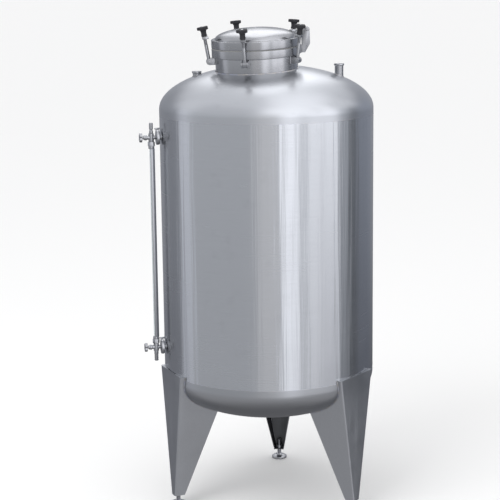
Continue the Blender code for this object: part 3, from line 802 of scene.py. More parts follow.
def plastic_material(colour):
    """Moulded black plastic: finely pebbled, greyer where hands have rubbed it."""
    tree, shader, vector = new_material("black_plastic")
    clouds = place_group(tree, "cloud", vector, Scale=55.0)
    base = mix_colour(tree, clouds.outputs["Smudge"], colour, toned(colour, 2.0, 0.012))
    gloss = map_range(tree, clouds.outputs["Cloud"], (0.3, 0.7), (0.32, 0.48))
    surfaced(tree, shader, base, gloss, bumped(tree, noise(tree, vector, 1800.0), 0.00008))


def glass_material(colour):
    """Clear tube glass with a faint film of dust."""
    tree, shader, vector = new_material("tube_glass")
    clouds = place_group(tree, "cloud", vector, Scale=22.0)
    base = mix_colour(tree, clouds.outputs["Smudge"], colour, toned(colour, 0.92))
    surfaced(tree, shader, base, map_range(tree, clouds.outputs["Cloud"], (0.3, 0.7), (0.03, 0.10)))
    shader.inputs["Transmission Weight"].default_value = 1.0
    shader.inputs["IOR"].default_value = 1.47


def head_profile(inset, steps=48):
    """Return (radius, rise) points of a dished end from its pole to its seam."""
    wide = dome_radius() - inset
    deep = head_depth() - inset
    flange = sizes().body.flange
    angles = [math.pi / 2 * k / steps for k in range(steps + 1)]
    return [(wide * math.sin(a), flange + deep * math.cos(a)) for a in angles] + [(wide, 0.0)]


def pierced_dome():
    """Return the top head as a grid that runs from the manway's hole out to the flange."""
    body = sizes().body
    rows, around = 72, body.sides
    hole = neck_line(0.0, around)
    bm = bmesh.new()
    layers = []
    for inset in (0.0, body.wall):
        rings = []
        for row in range(rows + 1):
            share = math.sin(math.pi / 2 * row / rows)
            rings.append([bm.verts.new(dome_point(hole[k], k, around, share, inset)) for k in range(around)])
        wide = dome_radius() - inset
        rings.append([bm.verts.new(round_point(k, around, wide, UPPER_SEAM)) for k in range(around)])
        layers.append(rings)
    outside, inside = layers
    for rings in layers:
        for first, second in zip(rings, rings[1:]):
            bridge(bm, first, second)
    bridge(bm, outside[0], inside[0])
    bridge(bm, outside[-1], inside[-1])
    return finish_mesh(bm, "pierced_dome")


def round_point(k, around, radius, height):
    """Return the k-th point of a circle about the tank's axis."""
    return Vector((*polar(radius, 2 * math.pi * k / around), height))


def dome_point(start, k, around, share, inset):
    """Return a point of the dome between the manway's hole and the rim."""
    wide = dome_radius() - inset
    rim = round_point(k, around, wide, 0.0)
    flat = Vector((start.x, start.y, 0.0)).lerp(rim, share)
    reach = min(flat.length, wide)
    return Vector((flat.x, flat.y, dome_height(reach, inset)))


def neck_line(gap, around):
    """Return the line where the manway's neck meets the dome, in the tank's own frame."""
    radius = sizes().manway.neck + gap
    place = tank_place().inverted() @ manway_place()
    line = []
    for k in range(around):
        x, y = polar(radius, 2 * math.pi * k / around)
        low, high = -0.10, 0.05
        for _ in range(40):
            middle = (low + high) / 2
            point = place @ Vector((x, y, middle))
            if point.z > dome_height(Vector((point.x, point.y)).length):
                high = middle
            else:
                low = middle
        line.append(point)
    return line


def hole_cutter(node):
    """Return a bar that fills a nozzle, to open the dome for it."""
    low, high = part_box(node)
    centre = (low + high) / 2
    cutter = bar(nozzle_radius(node) - 0.0002, low.z - 0.05, high.z + 0.05, 64)
    return moved(cutter, centre.x - AXIS_X, centre.y)


def nozzle_radius(node):
    """Return the radius of a nozzle's pipe under its lip."""
    low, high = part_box(node)
    return (high.x - low.x) / 2 - NOZZLE_LIP


def smooth_dome_normals(mesh):
    """Set the dome's normals from its ellipsoid, so that reflections run clean."""
    level = UPPER_SEAM + sizes().body.flange
    wide, deep = dome_radius(), head_depth()
    normals = []
    for polygon in mesh.polygons:
        for index in polygon.vertices:
            point = mesh.vertices[index].co
            up = max(point.z - level, 0.0)
            true = Vector((point.x / wide**2, point.y / wide**2, up / deep**2)).normalized()
            likeness = polygon.normal.dot(true)
            way = 1.0 if likeness > 0 else -1.0
            normals.append(tuple(true * way) if abs(likeness) > 0.9 else tuple(polygon.normal))
    mesh.normals_split_custom_set(normals)


class TANK_OT_shell(bpy.types.Operator):
    """Build the rolled shell, the lower end and the seams' welds"""

    bl_idname = "tank.shell"
    bl_label = "Shell and lower end"

    def execute(self, context):
        body = sizes().body
        outer = dome_radius()
        inner = outer - body.wall
        outline = [(outer, LOWER_SEAM), (outer, UPPER_SEAM), (inner, UPPER_SEAM), (inner, LOWER_SEAM)]
        show("rolled_shell", turned(outline, body.sides), "shell_sheet", tank_place(), ["shell"])
        profile = head_profile(0.0) + head_profile(body.wall)[::-1]
        bowl = turned([(r, LOWER_SEAM - z) for r, z in profile], body.sides)
        # The lower end's finish is darkened as painted shade under the tank.
        show("lower_end", bowl, "lower_shaded_sheet", tank_place(), ["bottom_head"])
        radius = outer - body.weld + body.skin
        circles = [circle_points(radius, z) for z in (LOWER_SEAM, UPPER_SEAM)]
        seams = [bead(circle, body.weld, SEAM_RIPPLE, closed=True) for circle in circles]
        side_seam = bead([(radius, 0.0, LOWER_SEAM), (radius, 0.0, UPPER_SEAM)], body.weld, SEAM_RIPPLE)
        seams.append(turn_mesh(side_seam, SIDE_SEAM_TURN, "Z"))
        show("seam_welds", together(seams), "weld_metal", tank_place())
        return {"FINISHED"}


class TANK_OT_dome(bpy.types.Operator):
    """Build the pierced upper end"""

    bl_idname = "tank.dome"
    bl_label = "Upper end"

    def execute(self, context):
        mesh = fused([pierced_dome()], [hole_cutter("right_nozzle"), hole_cutter("left_nozzle")])
        obj = show("upper_end", mesh, "head_sheet", tank_place(), ["top_head"])
        smooth_dome_normals(obj.data)
        weld = bead(neck_line(0.0015, 180), 0.0035, WELD_RIPPLE, closed=True)
        show("neck_weld", weld, "weld_metal", tank_place())
        return {"FINISHED"}


def leg_size(level):
    """Return a leg's half width and how far in its flanges start, at a height."""
    body = sizes().body
    low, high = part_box("rear_leg")
    rise = (level - low.z) / (high.z - low.z)
    half = body.leg_half_foot + (body.leg_half_top - body.leg_half_foot) * rise
    depth = body.leg_depth + body.leg_rise * (level - low.z)
    return half, high.y - depth


def leg_section(level, inset):
    """Return the folded section of a leg at a height, with its corners bent round."""
    half, inner = leg_size(level)
    half -= inset
    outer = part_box("rear_leg")[1].y - inset
    bend = max(sizes().body.leg_bend - inset, 0.001)
    points = [(inner, -half)]
    points += arc((outer - bend, bend - half), bend, -90.0, 0.0, 6)
    points += arc((outer - bend, half - bend), bend, 0.0, 90.0, 6)
    points += [(inner, half)]
    return [(x, y, level) for x, y in points]


def leg_mesh(envelope):
    """Return a folded leg with its end plate, cut to the tank."""
    body = sizes().body
    low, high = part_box("rear_leg")
    plate_half = body.leg_plate / 2
    folded = stacked([leg_section(z, 0.0) + leg_section(z, body.leg_plate)[::-1] for z in (low.z, high.z)])
    half = body.leg_half_foot - plate_half
    near = (high.y - body.leg_depth + 0.001, -half, low.z + 0.0005)
    end_plate = block(near, (high.y - plate_half, half, low.z + body.leg_plate))
    stud_hole = moved(bar(0.0112, 0.0, 0.12), foot_reach())
    return fused([folded, end_plate, leg_cap(-1.0), leg_cap(1.0)], [stud_hole, envelope])


def leg_cap(side):
    """Return the plate that closes one half of a leg's top, its corner bent with the leg."""
    body = sizes().body
    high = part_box("rear_leg")[1]
    inset = body.leg_plate / 2
    back = high.y - body.leg_plate - body.cap_depth
    corner = (high.y - body.leg_bend, body.leg_half_top - body.leg_bend)
    points = [(back, body.cap_start), (high.y - inset, body.cap_start)]
    points += arc(corner, body.leg_bend - inset, 0.0, 90.0, 6)
    points += [(back, body.leg_half_top - inset)]
    return prism([(x, side * y) for x, y in points], high.z - body.leg_plate, high.z)


def foot_reach():
    """Return the distance of a foot from the tank's axis."""
    low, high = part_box("rear_foot")
    return (low.y + high.y) / 2


def tank_cutter():
    """Return the outside of the tank's lower half as a cutter."""
    lower = [(r + 2 * FIT, LOWER_SEAM - z) for r, z in head_profile(0.0, 32)]
    lower[0] = (0.0, lower[0][1])
    top = LOWER_SEAM + 0.2
    return turned(lower + [(lower[-1][0], top), (0.0, top)], 240)


def paint_fold_shade(mesh):
    """Give the faces inside a leg's fold a rougher sheet painted very dark, as painted shade inside the fold.
    """
    mesh.materials.append(bpy.data.materials["leg_fold_shade"])
    for face in mesh.polygons:
        way = -1.0 if face.center.y > 0 else 1.0
        if face.normal.x < -0.7 or (face.normal.y * way > 0.7 and abs(face.center.y) > 0.012):
            face.material_index = 1


def leg_weld_paths():
    """Return the lines where a leg's two flanges meet the tank."""
    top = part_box("rear_leg")[1].z
    start, fall, steps = top - 0.002, top - 0.46, 60
    paths = []
    for side in (-1.0, 1.0):
        path = []
        for step in range(steps + 1):
            level = start - fall * step / steps
            half, inner = leg_size(level)
            drop = max(LOWER_SEAM - sizes().body.flange - level, 0.0) / head_depth()
            radius = dome_radius() * math.sqrt(max(1.0 - drop**2, 0.0))
            edge = half + 0.001
            if radius <= edge:
                break
            x = math.sqrt(radius**2 - edge**2)
            if x < inner:
                break
            path.append((x + 0.001, side * edge, level))
        paths.append(path)
    return paths


class TANK_OT_legs(bpy.types.Operator):
    """Build the three folded legs and their welds"""

    bl_idname = "tank.legs"
    bl_label = "Legs"

    def execute(self, context):
        mesh = leg_mesh(tank_cutter())
        welds = together([bead(path, 0.0030, WELD_RIPPLE) for path in leg_weld_paths()])
        for side, azimuth in LEG_AZIMUTHS.items():
            place = tank_place() @ facing(azimuth)
            leg = show(f"{side}_folded_leg", mesh.copy(), "leg_sheet", place, [f"{side}_leg"])
            # Painted shade: the faces inside each leg's fold get the very dark sheet.
            paint_fold_shade(leg.data)
            show(f"{side}_leg_weld", welds.copy(), "weld_metal", place)
        return {"FINISHED"}


def foot_pad(radius):
    """Return the stepped pad of a foot with its hub."""
    step, hub, top = radius - 0.006, 0.0150, 0.026
    pad = [(0.0, 0.0005), (step, 0.0005), (step, 0.004), (radius, 0.004), (radius, 0.011)]
    pad += [(radius * 0.80, 0.0155), (radius * 0.42, 0.0185), (hub, 0.0215), (hub, top), (0.0, top)]
    return turned(rounded(pad, 0.0012), 64)


def foot_sole(radius):
    """Return the rubber disc under a foot."""
    outline = [(0.0, 0.0), (radius - 0.001, 0.0), (radius - 0.001, 0.0038), (0.0, 0.0038)]
    return turned(rounded(outline, 0.0008), 64)


class TANK_OT_feet(bpy.types.Operator):
    """Build the levelling feet: pad, threaded stud and nut"""

    bl_idname = "tank.feet"
    bl_label = "Levelling feet"

    def execute(self, context):
        low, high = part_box("rear_foot")
        radius = (high.x - low.x) / 2
        stud = threaded(0.0100, 0.024, high.z, pitch=0.0025, depth=0.0011)
        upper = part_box("rear_leg")[0].z + sizes().body.leg_plate + FIT
        parts = together([foot_pad(radius), stud, nut(0.0165, upper, upper + 0.016)])
        for side, azimuth in LEG_AZIMUTHS.items():
            place = tank_place() @ facing(azimuth) @ Matrix.Translation((foot_reach(), 0.0, 0.0))
            show(f"{side}_levelling_foot", parts.copy(), "plain_fitting", place,
                 [f"{side}_foot"])
            show(f"{side}_foot_sole", foot_sole(radius), "gasket_rubber", place)
        return {"FINISHED"}


class TANK_OT_manway(bpy.types.Operator):
    """Build the manway's neck, clamping ring and gasket"""

    bl_idname = "tank.manway"
    bl_label = "Manway"

    def execute(self, context):
        manway = sizes().manway
        place = manway_place()
        bore = manway.neck - sizes().body.wall
        neck = tube_outline(bore, manway.neck, manway.neck_foot, manway.ring_foot - FIT)
        show("neck", turned(rounded(neck, 0.0006), manway.sides), "manway_sheet", place,
             ["manway_neck"])
        ring = tube_outline(bore, manway.ring, manway.ring_foot, manway.ring_head)
        show("clamping_ring", turned(rounded(ring, 0.0022, 4), manway.sides), "manway_sheet",
             place, ["manway_ring"])
        low = manway.ring_head + FIT
        seal = tube_outline(manway.ring - manway.lid_rim, manway.ring - 0.0015, low, low + manway.gasket)
        show("seal", turned(rounded(seal, 0.0011, 4), manway.sides), "gasket_rubber", place,
             ["manway_gasket"])
        line = circle_points(manway.neck + 0.0012, manway.ring_foot - 0.0012)
        show("ring_weld", bead(line, 0.0022, WELD_RIPPLE, closed=True), "weld_metal", place)
        return {"FINISHED"}


def lid_curve(radius, level):
    """Return the dished line of the lid from its pole outwards."""
    rise = sizes().manway.dome_rise
    angles = [math.pi / 2 * k / 28 for k in range(29)]
    return [(radius * math.sin(a), level + rise * math.cos(a)) for a in angles]


def lid_profile():
    """Return the outline of the dished lid with its deep rim, in the manway's frame."""
    manway = sizes().manway
    wall = sizes().body.wall
    foot = manway.ring_head + manway.gasket + 2 * FIT
    under = manway.lid_top - wall
    inner_rim = manway.ring - manway.lid_rim
    dome = lid_curve(manway.dome, manway.lid_top)
    hollow = lid_curve(manway.dome - wall, under)
    rim = [(manway.ring, manway.lid_top), (manway.ring, foot), (inner_rim, foot), (inner_rim, under)]
    softened_rim = rounded([dome[-1]] + rim + [hollow[-1]], 0.0035, 5, keep=(0, 5))
    return dome[:-1] + softened_rim + hollow[:-1][::-1]


class TANK_OT_lid(bpy.types.Operator):
    """Build the lid and its hinge"""

    bl_idname = "tank.lid"
    bl_label = "Lid and hinge"

    def execute(self, context):
        place = manway_place()
        lid = turned(lid_profile(), sizes().manway.sides)
        show("dished_lid", lid, "manway_sheet", place, ["lid"], body="lid")
        hinge = hinge_place()
        reach, _, drop = -(hinge.inverted() @ place).translation
        show("hinge_arm", hinge_arm(reach, drop), "plain_fitting", hinge, ["lid_hinge_arm"],
             body="lid")
        show("hinge_ears", hinge_ears(reach, drop), "plain_fitting", hinge,
             ["lid_hinge_bracket"])
        show("hinge_rod", hinge_rod(), "turned_fitting", hinge, ["lid_hinge_pin"])
        return {"FINISHED"}


def hinge_arm(reach, drop):
    """Return the arm that is welded on the lid's rim and turns on the pin."""
    manway = sizes().manway
    half = 0.0115
    foot = manway.lid_top + FIT - drop
    start = manway.dome - 0.004 - reach
    rim_end = manway.ring - 0.0025 - reach
    points = [(start, foot), (rim_end, foot)] + arc((0.0, 0.0), KNUCKLE, -60.0, 120.0, 14)
    points += [(start, foot + 0.018)]
    corners = [(start, -half), (rim_end, -half), (rim_end, half), (start, half)]
    weld = bead([(x, y, foot) for x, y in corners], 0.0018, closed=True)
    return together([plate(points, -half, half, 0.0010), weld])


def hinge_ears(reach, drop):
    """Return the two ears and their base, welded on the clamping ring."""
    manway = sizes().manway
    inner, outer, half_base, half_weld = 0.0125, 0.0185, 0.0135, 0.0190
    low = manway.ring_foot + 0.001 - drop
    high = manway.ring_head - 0.001 - drop
    weld = manway.ring + FIT - reach
    start = manway.ring + 0.007 - reach
    points = [(weld, low), (start + 0.012, low), (KNUCKLE, low + 0.040)]
    points += arc((0.0, 0.0), KNUCKLE, 0.0, 180.0, 16)
    points += [(start, -0.014), (start, high), (weld, high)]
    near = plate(points, inner, outer, 0.0009)
    far = plate(points, -outer, -inner, 0.0009)
    base = block((weld, -half_base, low + 0.0002), (weld + 0.013, half_base, high - 0.0002), 0.0008)
    corners = [(-half_weld, low), (-half_weld, high), (half_weld, high), (half_weld, low)]
    return together([near, far, base, bead([(weld, y, z) for y, z in corners], 0.0020, closed=True)])


def hinge_rod():
    """Return the hinge pin with a domed head at each end."""
    rod, head, seat, end = 0.0055, 0.0085, 0.0188, 0.0228
    half = [(rod, seat), (head, seat), (head, 0.0212), (0.0070, end), (0.0, end)]
    outline = [(r, -z) for r, z in half[::-1]] + half
    return across(turned(rounded(outline, 0.0008), 40))


def lug_mesh():
    """Return the two ears and the pin that carry a swing bolt."""
    manway = sizes().manway
    hinge = manway_place().inverted() @ upright_bolt_place(1)
    reach = Vector(hinge.translation[:2]).length
    level = hinge.translation.z
    top = manway.ring_foot - FIT - level
    foot = 0.016 - level
    weld = manway.neck + FIT - reach
    points = [(weld, foot), (0.0, foot)] + arc((0.0, 0.0), 0.014, -80.0, 60.0, 12) + [(weld, top)]
    inner, outer = 0.0098, 0.0158
    ears = [plate(points, -outer, -inner, 0.0008), plate(points, inner, outer, 0.0008)]
    pin = across(bar(0.006, -outer - 0.0028, outer + 0.0028, 28))
    welds = []
    for side in (-outer, outer):
        welds.append(bead([(weld + 0.0005, side, foot), (weld + 0.0005, side, top)], 0.0016))
        welds.append(bead([(weld, side, top), (manway.ring - reach, side, top)], 0.0014))
    return together(ears + [pin] + welds)


def swing_bolt_mesh():
    """Return the eye bolt with its thread and the claw that hooks over the lid."""
    rod = 0.0080
    bore = across(bar(0.0063, -0.02, 0.02, 32))
    eye = fused([across(bar(0.0125, -0.009, 0.009, 40, 0.0010))], [bore.copy()])
    shank = fused([bar(rod, 0.0, 0.078, 32)], [bore])
    thread = threaded(rod, 0.077, 0.149, pitch=0.002, depth=0.0009)
    points = [(-0.018, 0.1035), (0.008, 0.1035), (0.012, 0.1065), (0.012, 0.1155), (-0.013, 0.1155)]
    points += [(-0.018, 0.1110)]
    return together([fused([eye, shank]), thread, plate(points, -0.011, 0.011, 0.0010)])


def lobed(radius, lobe, count, steps, scale=1.0):
    """Return the outline of a wheel with rounded lobes."""
    points = []
    for k in range(steps):
        angle = 2 * math.pi * k / steps
        reach = (radius + lobe * math.cos(count * angle)) * scale
        points.append(polar(reach, angle))
    return points


def lobed_disc(radius, lobe, count, low, high, edge, steps=100):
    """Return a lobed disc with full round edges and a slight crown."""
    inset = edge / radius
    rings = [(0.30, low), (0.86, low)]
    for angle in map(math.radians, (15, 40, 65, 90)):
        rings.append((1.0 - inset * (1 - math.sin(angle)), low + edge * (1 - math.cos(angle))))
    for angle in map(math.radians, (0, 25, 50, 75, 90)):
        rings.append((1.0 - inset * (1 - math.cos(angle)), high - edge + edge * math.sin(angle)))
    rings += [(0.55, high + 0.0006), (0.30, high + 0.0008)]
    return stacked([[(x, y, z) for x, y in lobed(radius, lobe, count, steps, scale)] for scale, z in rings])


def knob_mesh():
    """Return a star knob: lobed head, waisted hub and a blind bore."""
    head = lobed_disc(radius=0.0234, lobe=0.0040, count=5, low=0.1475, high=0.1614, edge=0.0030)
    hub = [(0.0086, 0.1175), (0.0130, 0.1175), (0.0140, 0.1190), (0.0122, 0.1300), (0.0128, 0.1400)]
    hub += [(0.0170, 0.1480), (0.0170, 0.1500), (0.0086, 0.1500)]
    return together([head, turned(rounded(hub, 0.0008), 48)])


def knob_cap_mesh():
    """Return the steel end of the bolt's insert in the knob's top."""
    outline = [(0.0, 0.1605), (0.0062, 0.1605), (0.0062, 0.1619), (0.0050, 0.1625), (0.0, 0.1625)]
    return turned(rounded(outline, 0.0003), 32)


class TANK_OT_bolts(bpy.types.Operator):
    """Build the lugs and the swing bolts with their claws"""

    bl_idname = "tank.bolts"
    bl_label = "Swing bolts"

    def execute(self, context):
        lug = lug_mesh()
        bolt = swing_bolt_mesh()
        for number in range(1, BOLT_COUNT + 1):
            show(f"lug_{number}", lug.copy(), "plain_fitting", upright_bolt_place(number),
                 [f"bolt_lug_{number}"])
            rider = f"swing_bolt_{number}"
            show(f"eye_bolt_{number}", bolt.copy(), "turned_fitting", bolt_place(number),
                 [rider], body=rider)
        return {"FINISHED"}


class TANK_OT_knobs(bpy.types.Operator):
    """Build the black star knobs"""

    bl_idname = "tank.knobs"
    bl_label = "Star knobs"

    def execute(self, context):
        knob = knob_mesh()
        cap = knob_cap_mesh()
        for number in range(1, BOLT_COUNT + 1):
            place = bolt_place(number)
            rider = f"star_knob_{number}"
            show(f"knob_{number}", knob.copy(), "black_plastic", place, [rider], body=rider)
            show(f"knob_cap_{number}", cap.copy(), "turned_fitting", place, body=rider)
        return {"FINISHED"}


def clamp_mesh():
    """Return a gauge stub with its two ferrules, its clamp band and the clamp's screw."""
    gauge = sizes().gauge
    start, end = gauge.clamp_start, gauge.clamp_end
    middle = (start + end) / 2
    root = SOLID_RADIUS - 0.004
    ferrule, inner, edge = 0.0265, 0.0255, gauge.clamp - 0.0015
    stub = [(0.0, root), (gauge.stub, root), (gauge.stub, start), (ferrule, start + 0.001)]
    stub += [(ferrule, middle - 2 * FIT), (0.0, middle - 2 * FIT)]
    far = [(0.0, middle + 2 * FIT), (ferrule, middle + 2 * FIT), (ferrule, end - 0.001)]
    far += [(gauge.stub, end), (0.0, end)]
    band = [(inner, start + 0.0005), (edge - 0.002, start + 0.0005), (edge, start + 0.003)]
    band += [(edge, end - 0.003), (edge - 0.002, end - 0.0005), (inner, end - 0.0005)]
    parts = [outwards(turned(rounded(outline, 0.0008), 56)) for outline in (stub, far, band)]
    return together(parts + [turn_mesh(part, 38.0, "X") for part in clamp_screw(start, middle, end, edge)])


def clamp_screw(start, middle, end, edge):
    """Return the two flanges of a clamp's band with the screw and its wing, over the band."""
    flanges = []
    for side in (-0.0055, 0.0055):
        low = (start + 0.003, side - 0.0025, edge - 0.008)
        flanges.append(block(low, (end - 0.003, side + 0.0025, edge + 0.010), 0.001))
    screw = across(bar(0.0028, -0.016, 0.018, 20))
    wing = plate([(-0.0110, -0.004), (0.0110, -0.004), (0.0125, 0.005), (-0.0125, 0.005)], 0.010, 0.0135)
    return flanges + [moved(part, middle, 0.0, edge + 0.004) for part in (screw, wing)]


def valve_mesh():
    """Return a gauge valve: bar, hexagon, barrel and packing nut."""
    gauge = sizes().gauge
    start, end = gauge.clamp_end + FIT, gauge.bar_end
    barrel, packing, bore = 0.0125, 0.0108, 0.0044
    outline = [(0.0, start), (gauge.bar, start), (gauge.bar, end - 0.016), (barrel, end - 0.014)]
    outline += [(barrel, end - 0.008), (packing, end - 0.006), (packing, end), (bore, end)]
    outline += [(bore, end - 0.011), (0.0, end - 0.011)]
    body = outwards(turned(rounded(outline, 0.0008), 48))
    hexagon = outwards(nut(0.0122, end - 0.0145, end - 0.0070))
    return together([body, hexagon, moved(bar(barrel, -0.019, 0.019, 48, 0.0015), gauge.reach)])


def handwheel_mesh():
    """Return a small lobed wheel with its hub and spindle."""
    head = lobed_disc(radius=0.0188, lobe=0.0025, count=6, low=0.0, high=0.0132, edge=0.0026, steps=108)
    hub = bar(0.0070, -0.0040, 0.0030, 32)
    spindle = bar(0.0040, -0.0168, 0.002, 24)
    return together([head, hub, spindle])


def gland_mesh(way):
    """Return a gland nut with its collar, on the glass."""
    body = nut(0.0165, 0.0195, 0.0400)
    collar = bar(0.0138, 0.0395, 0.0520, 40, 0.0012)
    mesh = fused([body, collar], [bar(sizes().gauge.glass + FIT, 0.015, 0.060, 32)])
    return mesh if way > 0 else turn_mesh(mesh, 180.0, "X")


def guard_mesh(low, high):
    """Return the guard: an open C section with rounded lips."""
    gauge = sizes().gauge
    half = gauge.slot / 2
    outer = arc((0.0, 0.0), gauge.guard, half, 360.0 - half, 40)
    inner = arc((0.0, 0.0), gauge.guard - 0.0015, half, 360.0 - half, 40)
    return softened(prism(outer + inner[::-1], low, high), 0.0004)


def drain_mesh():
    """Return the drain pipe with hose ribs and an open bore."""
    bore, root, rib = 0.0068, 0.0086, 0.0100
    outline = [(bore, -0.066), (0.0085, -0.066)]
    for k in range(3):
        foot = -0.064 + 0.009 * k
        outline += [(rib, foot + 0.004), (root, foot + 0.0045), (root, foot + 0.0085)]
    outline += [(rib, -0.034), (rib, -0.0193), (bore, -0.0193)]
    return turned(outline, 40)


def vent_mesh():
    """Return the vent plug above the upper valve."""
    plug, waist = 0.0090, 0.0076
    outline = [(0.0, 0.0193), (plug, 0.0193), (plug, 0.0300), (waist, 0.0315), (waist, 0.0380)]
    outline += [(plug, 0.0395), (plug, 0.0655), (0.0072, 0.0678), (0.0, 0.0678)]
    return turned(rounded(outline, 0.0008), 40)


class TANK_OT_gauge(bpy.types.Operator):
    """Build the level gauge: clamps, valves, wheels, glands, glass and guard"""

    bl_idname = "tank.gauge"
    bl_label = "Level gauge"

    def execute(self, context):
        clamp = clamp_mesh()
        valve = valve_mesh()
        wheel = handwheel_mesh()
        to_glass = Matrix.Translation((sizes().gauge.reach, 0.0, 0.0))
        for side, way in (("upper", -1), ("lower", 1)):
            place = gauge_place(gauge_level(side))
            show(f"{side}_clamp", clamp.copy(), "turned_fitting", place,
                 [f"{side}_gauge_flange"])
            show(f"{side}_valve", valve.copy(), "plain_fitting", place,
                 [f"{side}_gauge_valve"])
            show(f"{side}_gland", gland_mesh(way), "turned_fitting", place @ to_glass,
                 [f"{side}_gland_nut"])
            rider = f"{side}_handwheel"
            show(f"{side}_wheel", wheel.copy(), "plain_fitting", wheel_place(side), [rider],
                 body=rider)
        self.tube(gauge_place(0.0) @ to_glass)
        return {"FINISHED"}

    def tube(self, place):
        """Build the glass, its guard, the vent plug and the drain pipe."""
        glass = sizes().gauge.glass
        low, high = gauge_level("lower"), gauge_level("upper")
        tube = tube_outline(glass - 0.0015, glass, low + 0.0198, high - 0.0198)
        show("sight_tube", turned(tube, 40), "tube_glass", place, ["gauge_glass"])
        guard = guard_mesh(low + 0.0523, high - 0.0523)
        show("tube_guard", guard, "leg_sheet", place, ["gauge_guard"])
        top = place @ Matrix.Translation((0.0, 0.0, high))
        bottom = place @ Matrix.Translation((0.0, 0.0, low))
        show("vent", vent_mesh(), "turned_fitting", top, ["vent_plug"])
        show("drain", drain_mesh(), "turned_fitting", bottom, ["drain_pipe"])


class TANK_OT_nozzles(bpy.types.Operator):
    """Build the two open nozzles on the dome"""

    bl_idname = "tank.nozzles"
    bl_label = "Nozzles"

    def execute(self, context):
        for node in ("right_nozzle", "left_nozzle"):
            low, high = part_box(node)
            centre = (low + high) / 2
            radius = nozzle_radius(node)
            bore = radius - 0.003
            rim = radius + NOZZLE_LIP
            lip = high.z - 0.007
            outline = [(bore, low.z), (radius, low.z), (radius, lip - 0.003), (rim, lip)]
            outline += [(rim, high.z), (bore + 0.002, high.z), (bore, high.z - 0.002)]
            place = Matrix.Translation((centre.x, centre.y, 0.0))
            show(f"{node}_pipe", turned(rounded(outline, 0.0008), 72), "turned_fitting", place,
                 [node])
            ring = []
            for x, y, _ in circle_points(radius + 0.001, 0.0, 72):
                reach = Vector((centre.x + x - AXIS_X, centre.y + y)).length
                ring.append((x, y, dome_height(reach) + 0.0005))
            weld = bead(ring, 0.0026, WELD_RIPPLE, closed=True)
            show(f"{node}_weld", weld, "weld_metal", place)
        return {"FINISHED"}


# Surroundings that the steel mirrors: (azimuth from the camera, half width, softness, colour),
# with the first three in degrees
PANELS = (
    (-146.0, 40.0, 10.0, (0.30, 0.31, 0.34)),
    (-98.0, 9.0, 5.0, (0.78, 0.80, 0.86)),
    (0.0, 12.0, 10.0, (0.76, 0.76, 0.78)),
    (48.0, 34.0, 5.0, (1.30, 1.31, 1.37)),
    (24.0, 6.0, 6.0, (1.52, 1.53, 1.60)),
    (39.5, 3.0, 3.5, (0.78, 0.80, 0.84)),
    (61.0, 2.0, 3.0, (1.05, 1.06, 1.11)),
    (91.0, 8.0, 4.0, (0.48, 0.50, 0.54)),
    (106.0, 8.0, 4.0, (0.18, 0.19, 0.21)),
    (132.0, 19.0, 5.0, (0.28, 0.30, 0.35)),
    (166.0, 17.0, 6.0, (0.30, 0.31, 0.34)),
)

# What the steel mirrors overhead
SKY_PANELS = (
    (-108.0, 20.0, 24.0, (0.92, 0.93, 0.97)),
    (40.0, 44.0, 22.0, (1.60, 1.61, 1.66)),
    (60.0, 4.0, 7.0, (1.00, 1.01, 1.05)),
    (104.0, 18.0, 12.0, (0.95, 0.96, 1.00)),
)

# What it mirrors at the zenith
ZENITH_PANELS = ((78.0, 70.0, 56.0, (1.42, 1.43, 1.48)),)


def banded(tree, azimuth, base, panels):
    """Return a colour that changes with the azimuth."""
    colour = base
    for centre, half, soft, level in panels:
        offset = math_node(tree, "ABSOLUTE", math_node(tree, "SUBTRACT", azimuth, centre))
        mask = map_range(tree, offset, (half - soft / 2, half + soft / 2), (1.0, 0.0), smooth=True)
        colour = mix_colour(tree, mask, colour, level)
    return colour


def multiplied(tree, first, second):
    """Return two values multiplied."""
    return math_node(tree, "MULTIPLY", first, second)


def grey(level, blue=1.0):
    """Return a grey whose blue channel may be raised."""
    return (level, level, level * blue)


def level_surroundings(tree, azimuth, height):
    """Return what the steel mirrors from its own height: bands that fade with the height."""
    bands = banded(tree, azimuth, (0.54, 0.555, 0.585), PANELS)
    left = map_range(tree, height, (-32.0, 6.0), (0.70, 1.20))
    right = map_range(tree, height, (-26.0, -2.0), (0.05, 1.30))
    brightness = mix_colour(tree, fade(tree, azimuth, 15.0, 60.0), left, right)
    colour = mix_colour(tree, 1.0, bands, brightness, "MULTIPLY")
    sides = math_node(tree, "MAXIMUM", fade(tree, azimuth, 58.0, 72.0), fade(tree, azimuth, -92.0, -98.0))
    darker = mix_colour(tree, 1.0, colour, (0.68, 0.68, 0.70), "MULTIPLY")
    return mix_colour(tree, multiplied(tree, sides, fade(tree, height, -11.5, -14.0)), colour, darker)


def overhead_surroundings(tree, azimuth, away, height, colour):
    """Return a colour with what the steel mirrors from above laid over it."""
    above = banded(tree, azimuth, (0.72, 0.73, 0.77), SKY_PANELS)
    above = mix_colour(tree, 1.0, above, grey(sizes().studio.sky), "MULTIPLY")
    above = mix_colour(tree, fade(tree, away, 130.0, 148.0), above, (0.90, 0.91, 0.95))
    edge = multiplied(tree, fade(tree, away, 114.0, 136.0), fade(tree, height, 38.0, 20.0))
    above = mix_colour(tree, edge, above, (0.30, 0.31, 0.34))
    colour = mix_colour(tree, fade(tree, height, 8.0, 30.0), colour, above)
    zenith = banded(tree, azimuth, (0.86, 0.87, 0.91), ZENITH_PANELS)
    colour = mix_colour(tree, fade(tree, height, 42.0, 62.0), colour, zenith)
    window = fade(tree, away, 158.0, 172.0)
    for start, end in ((15.0, 27.0), (84.0, 60.0)):
        window = multiplied(tree, window, fade(tree, height, start, end))
    return mix_colour(tree, window, colour, (2.20, 2.22, 2.28))


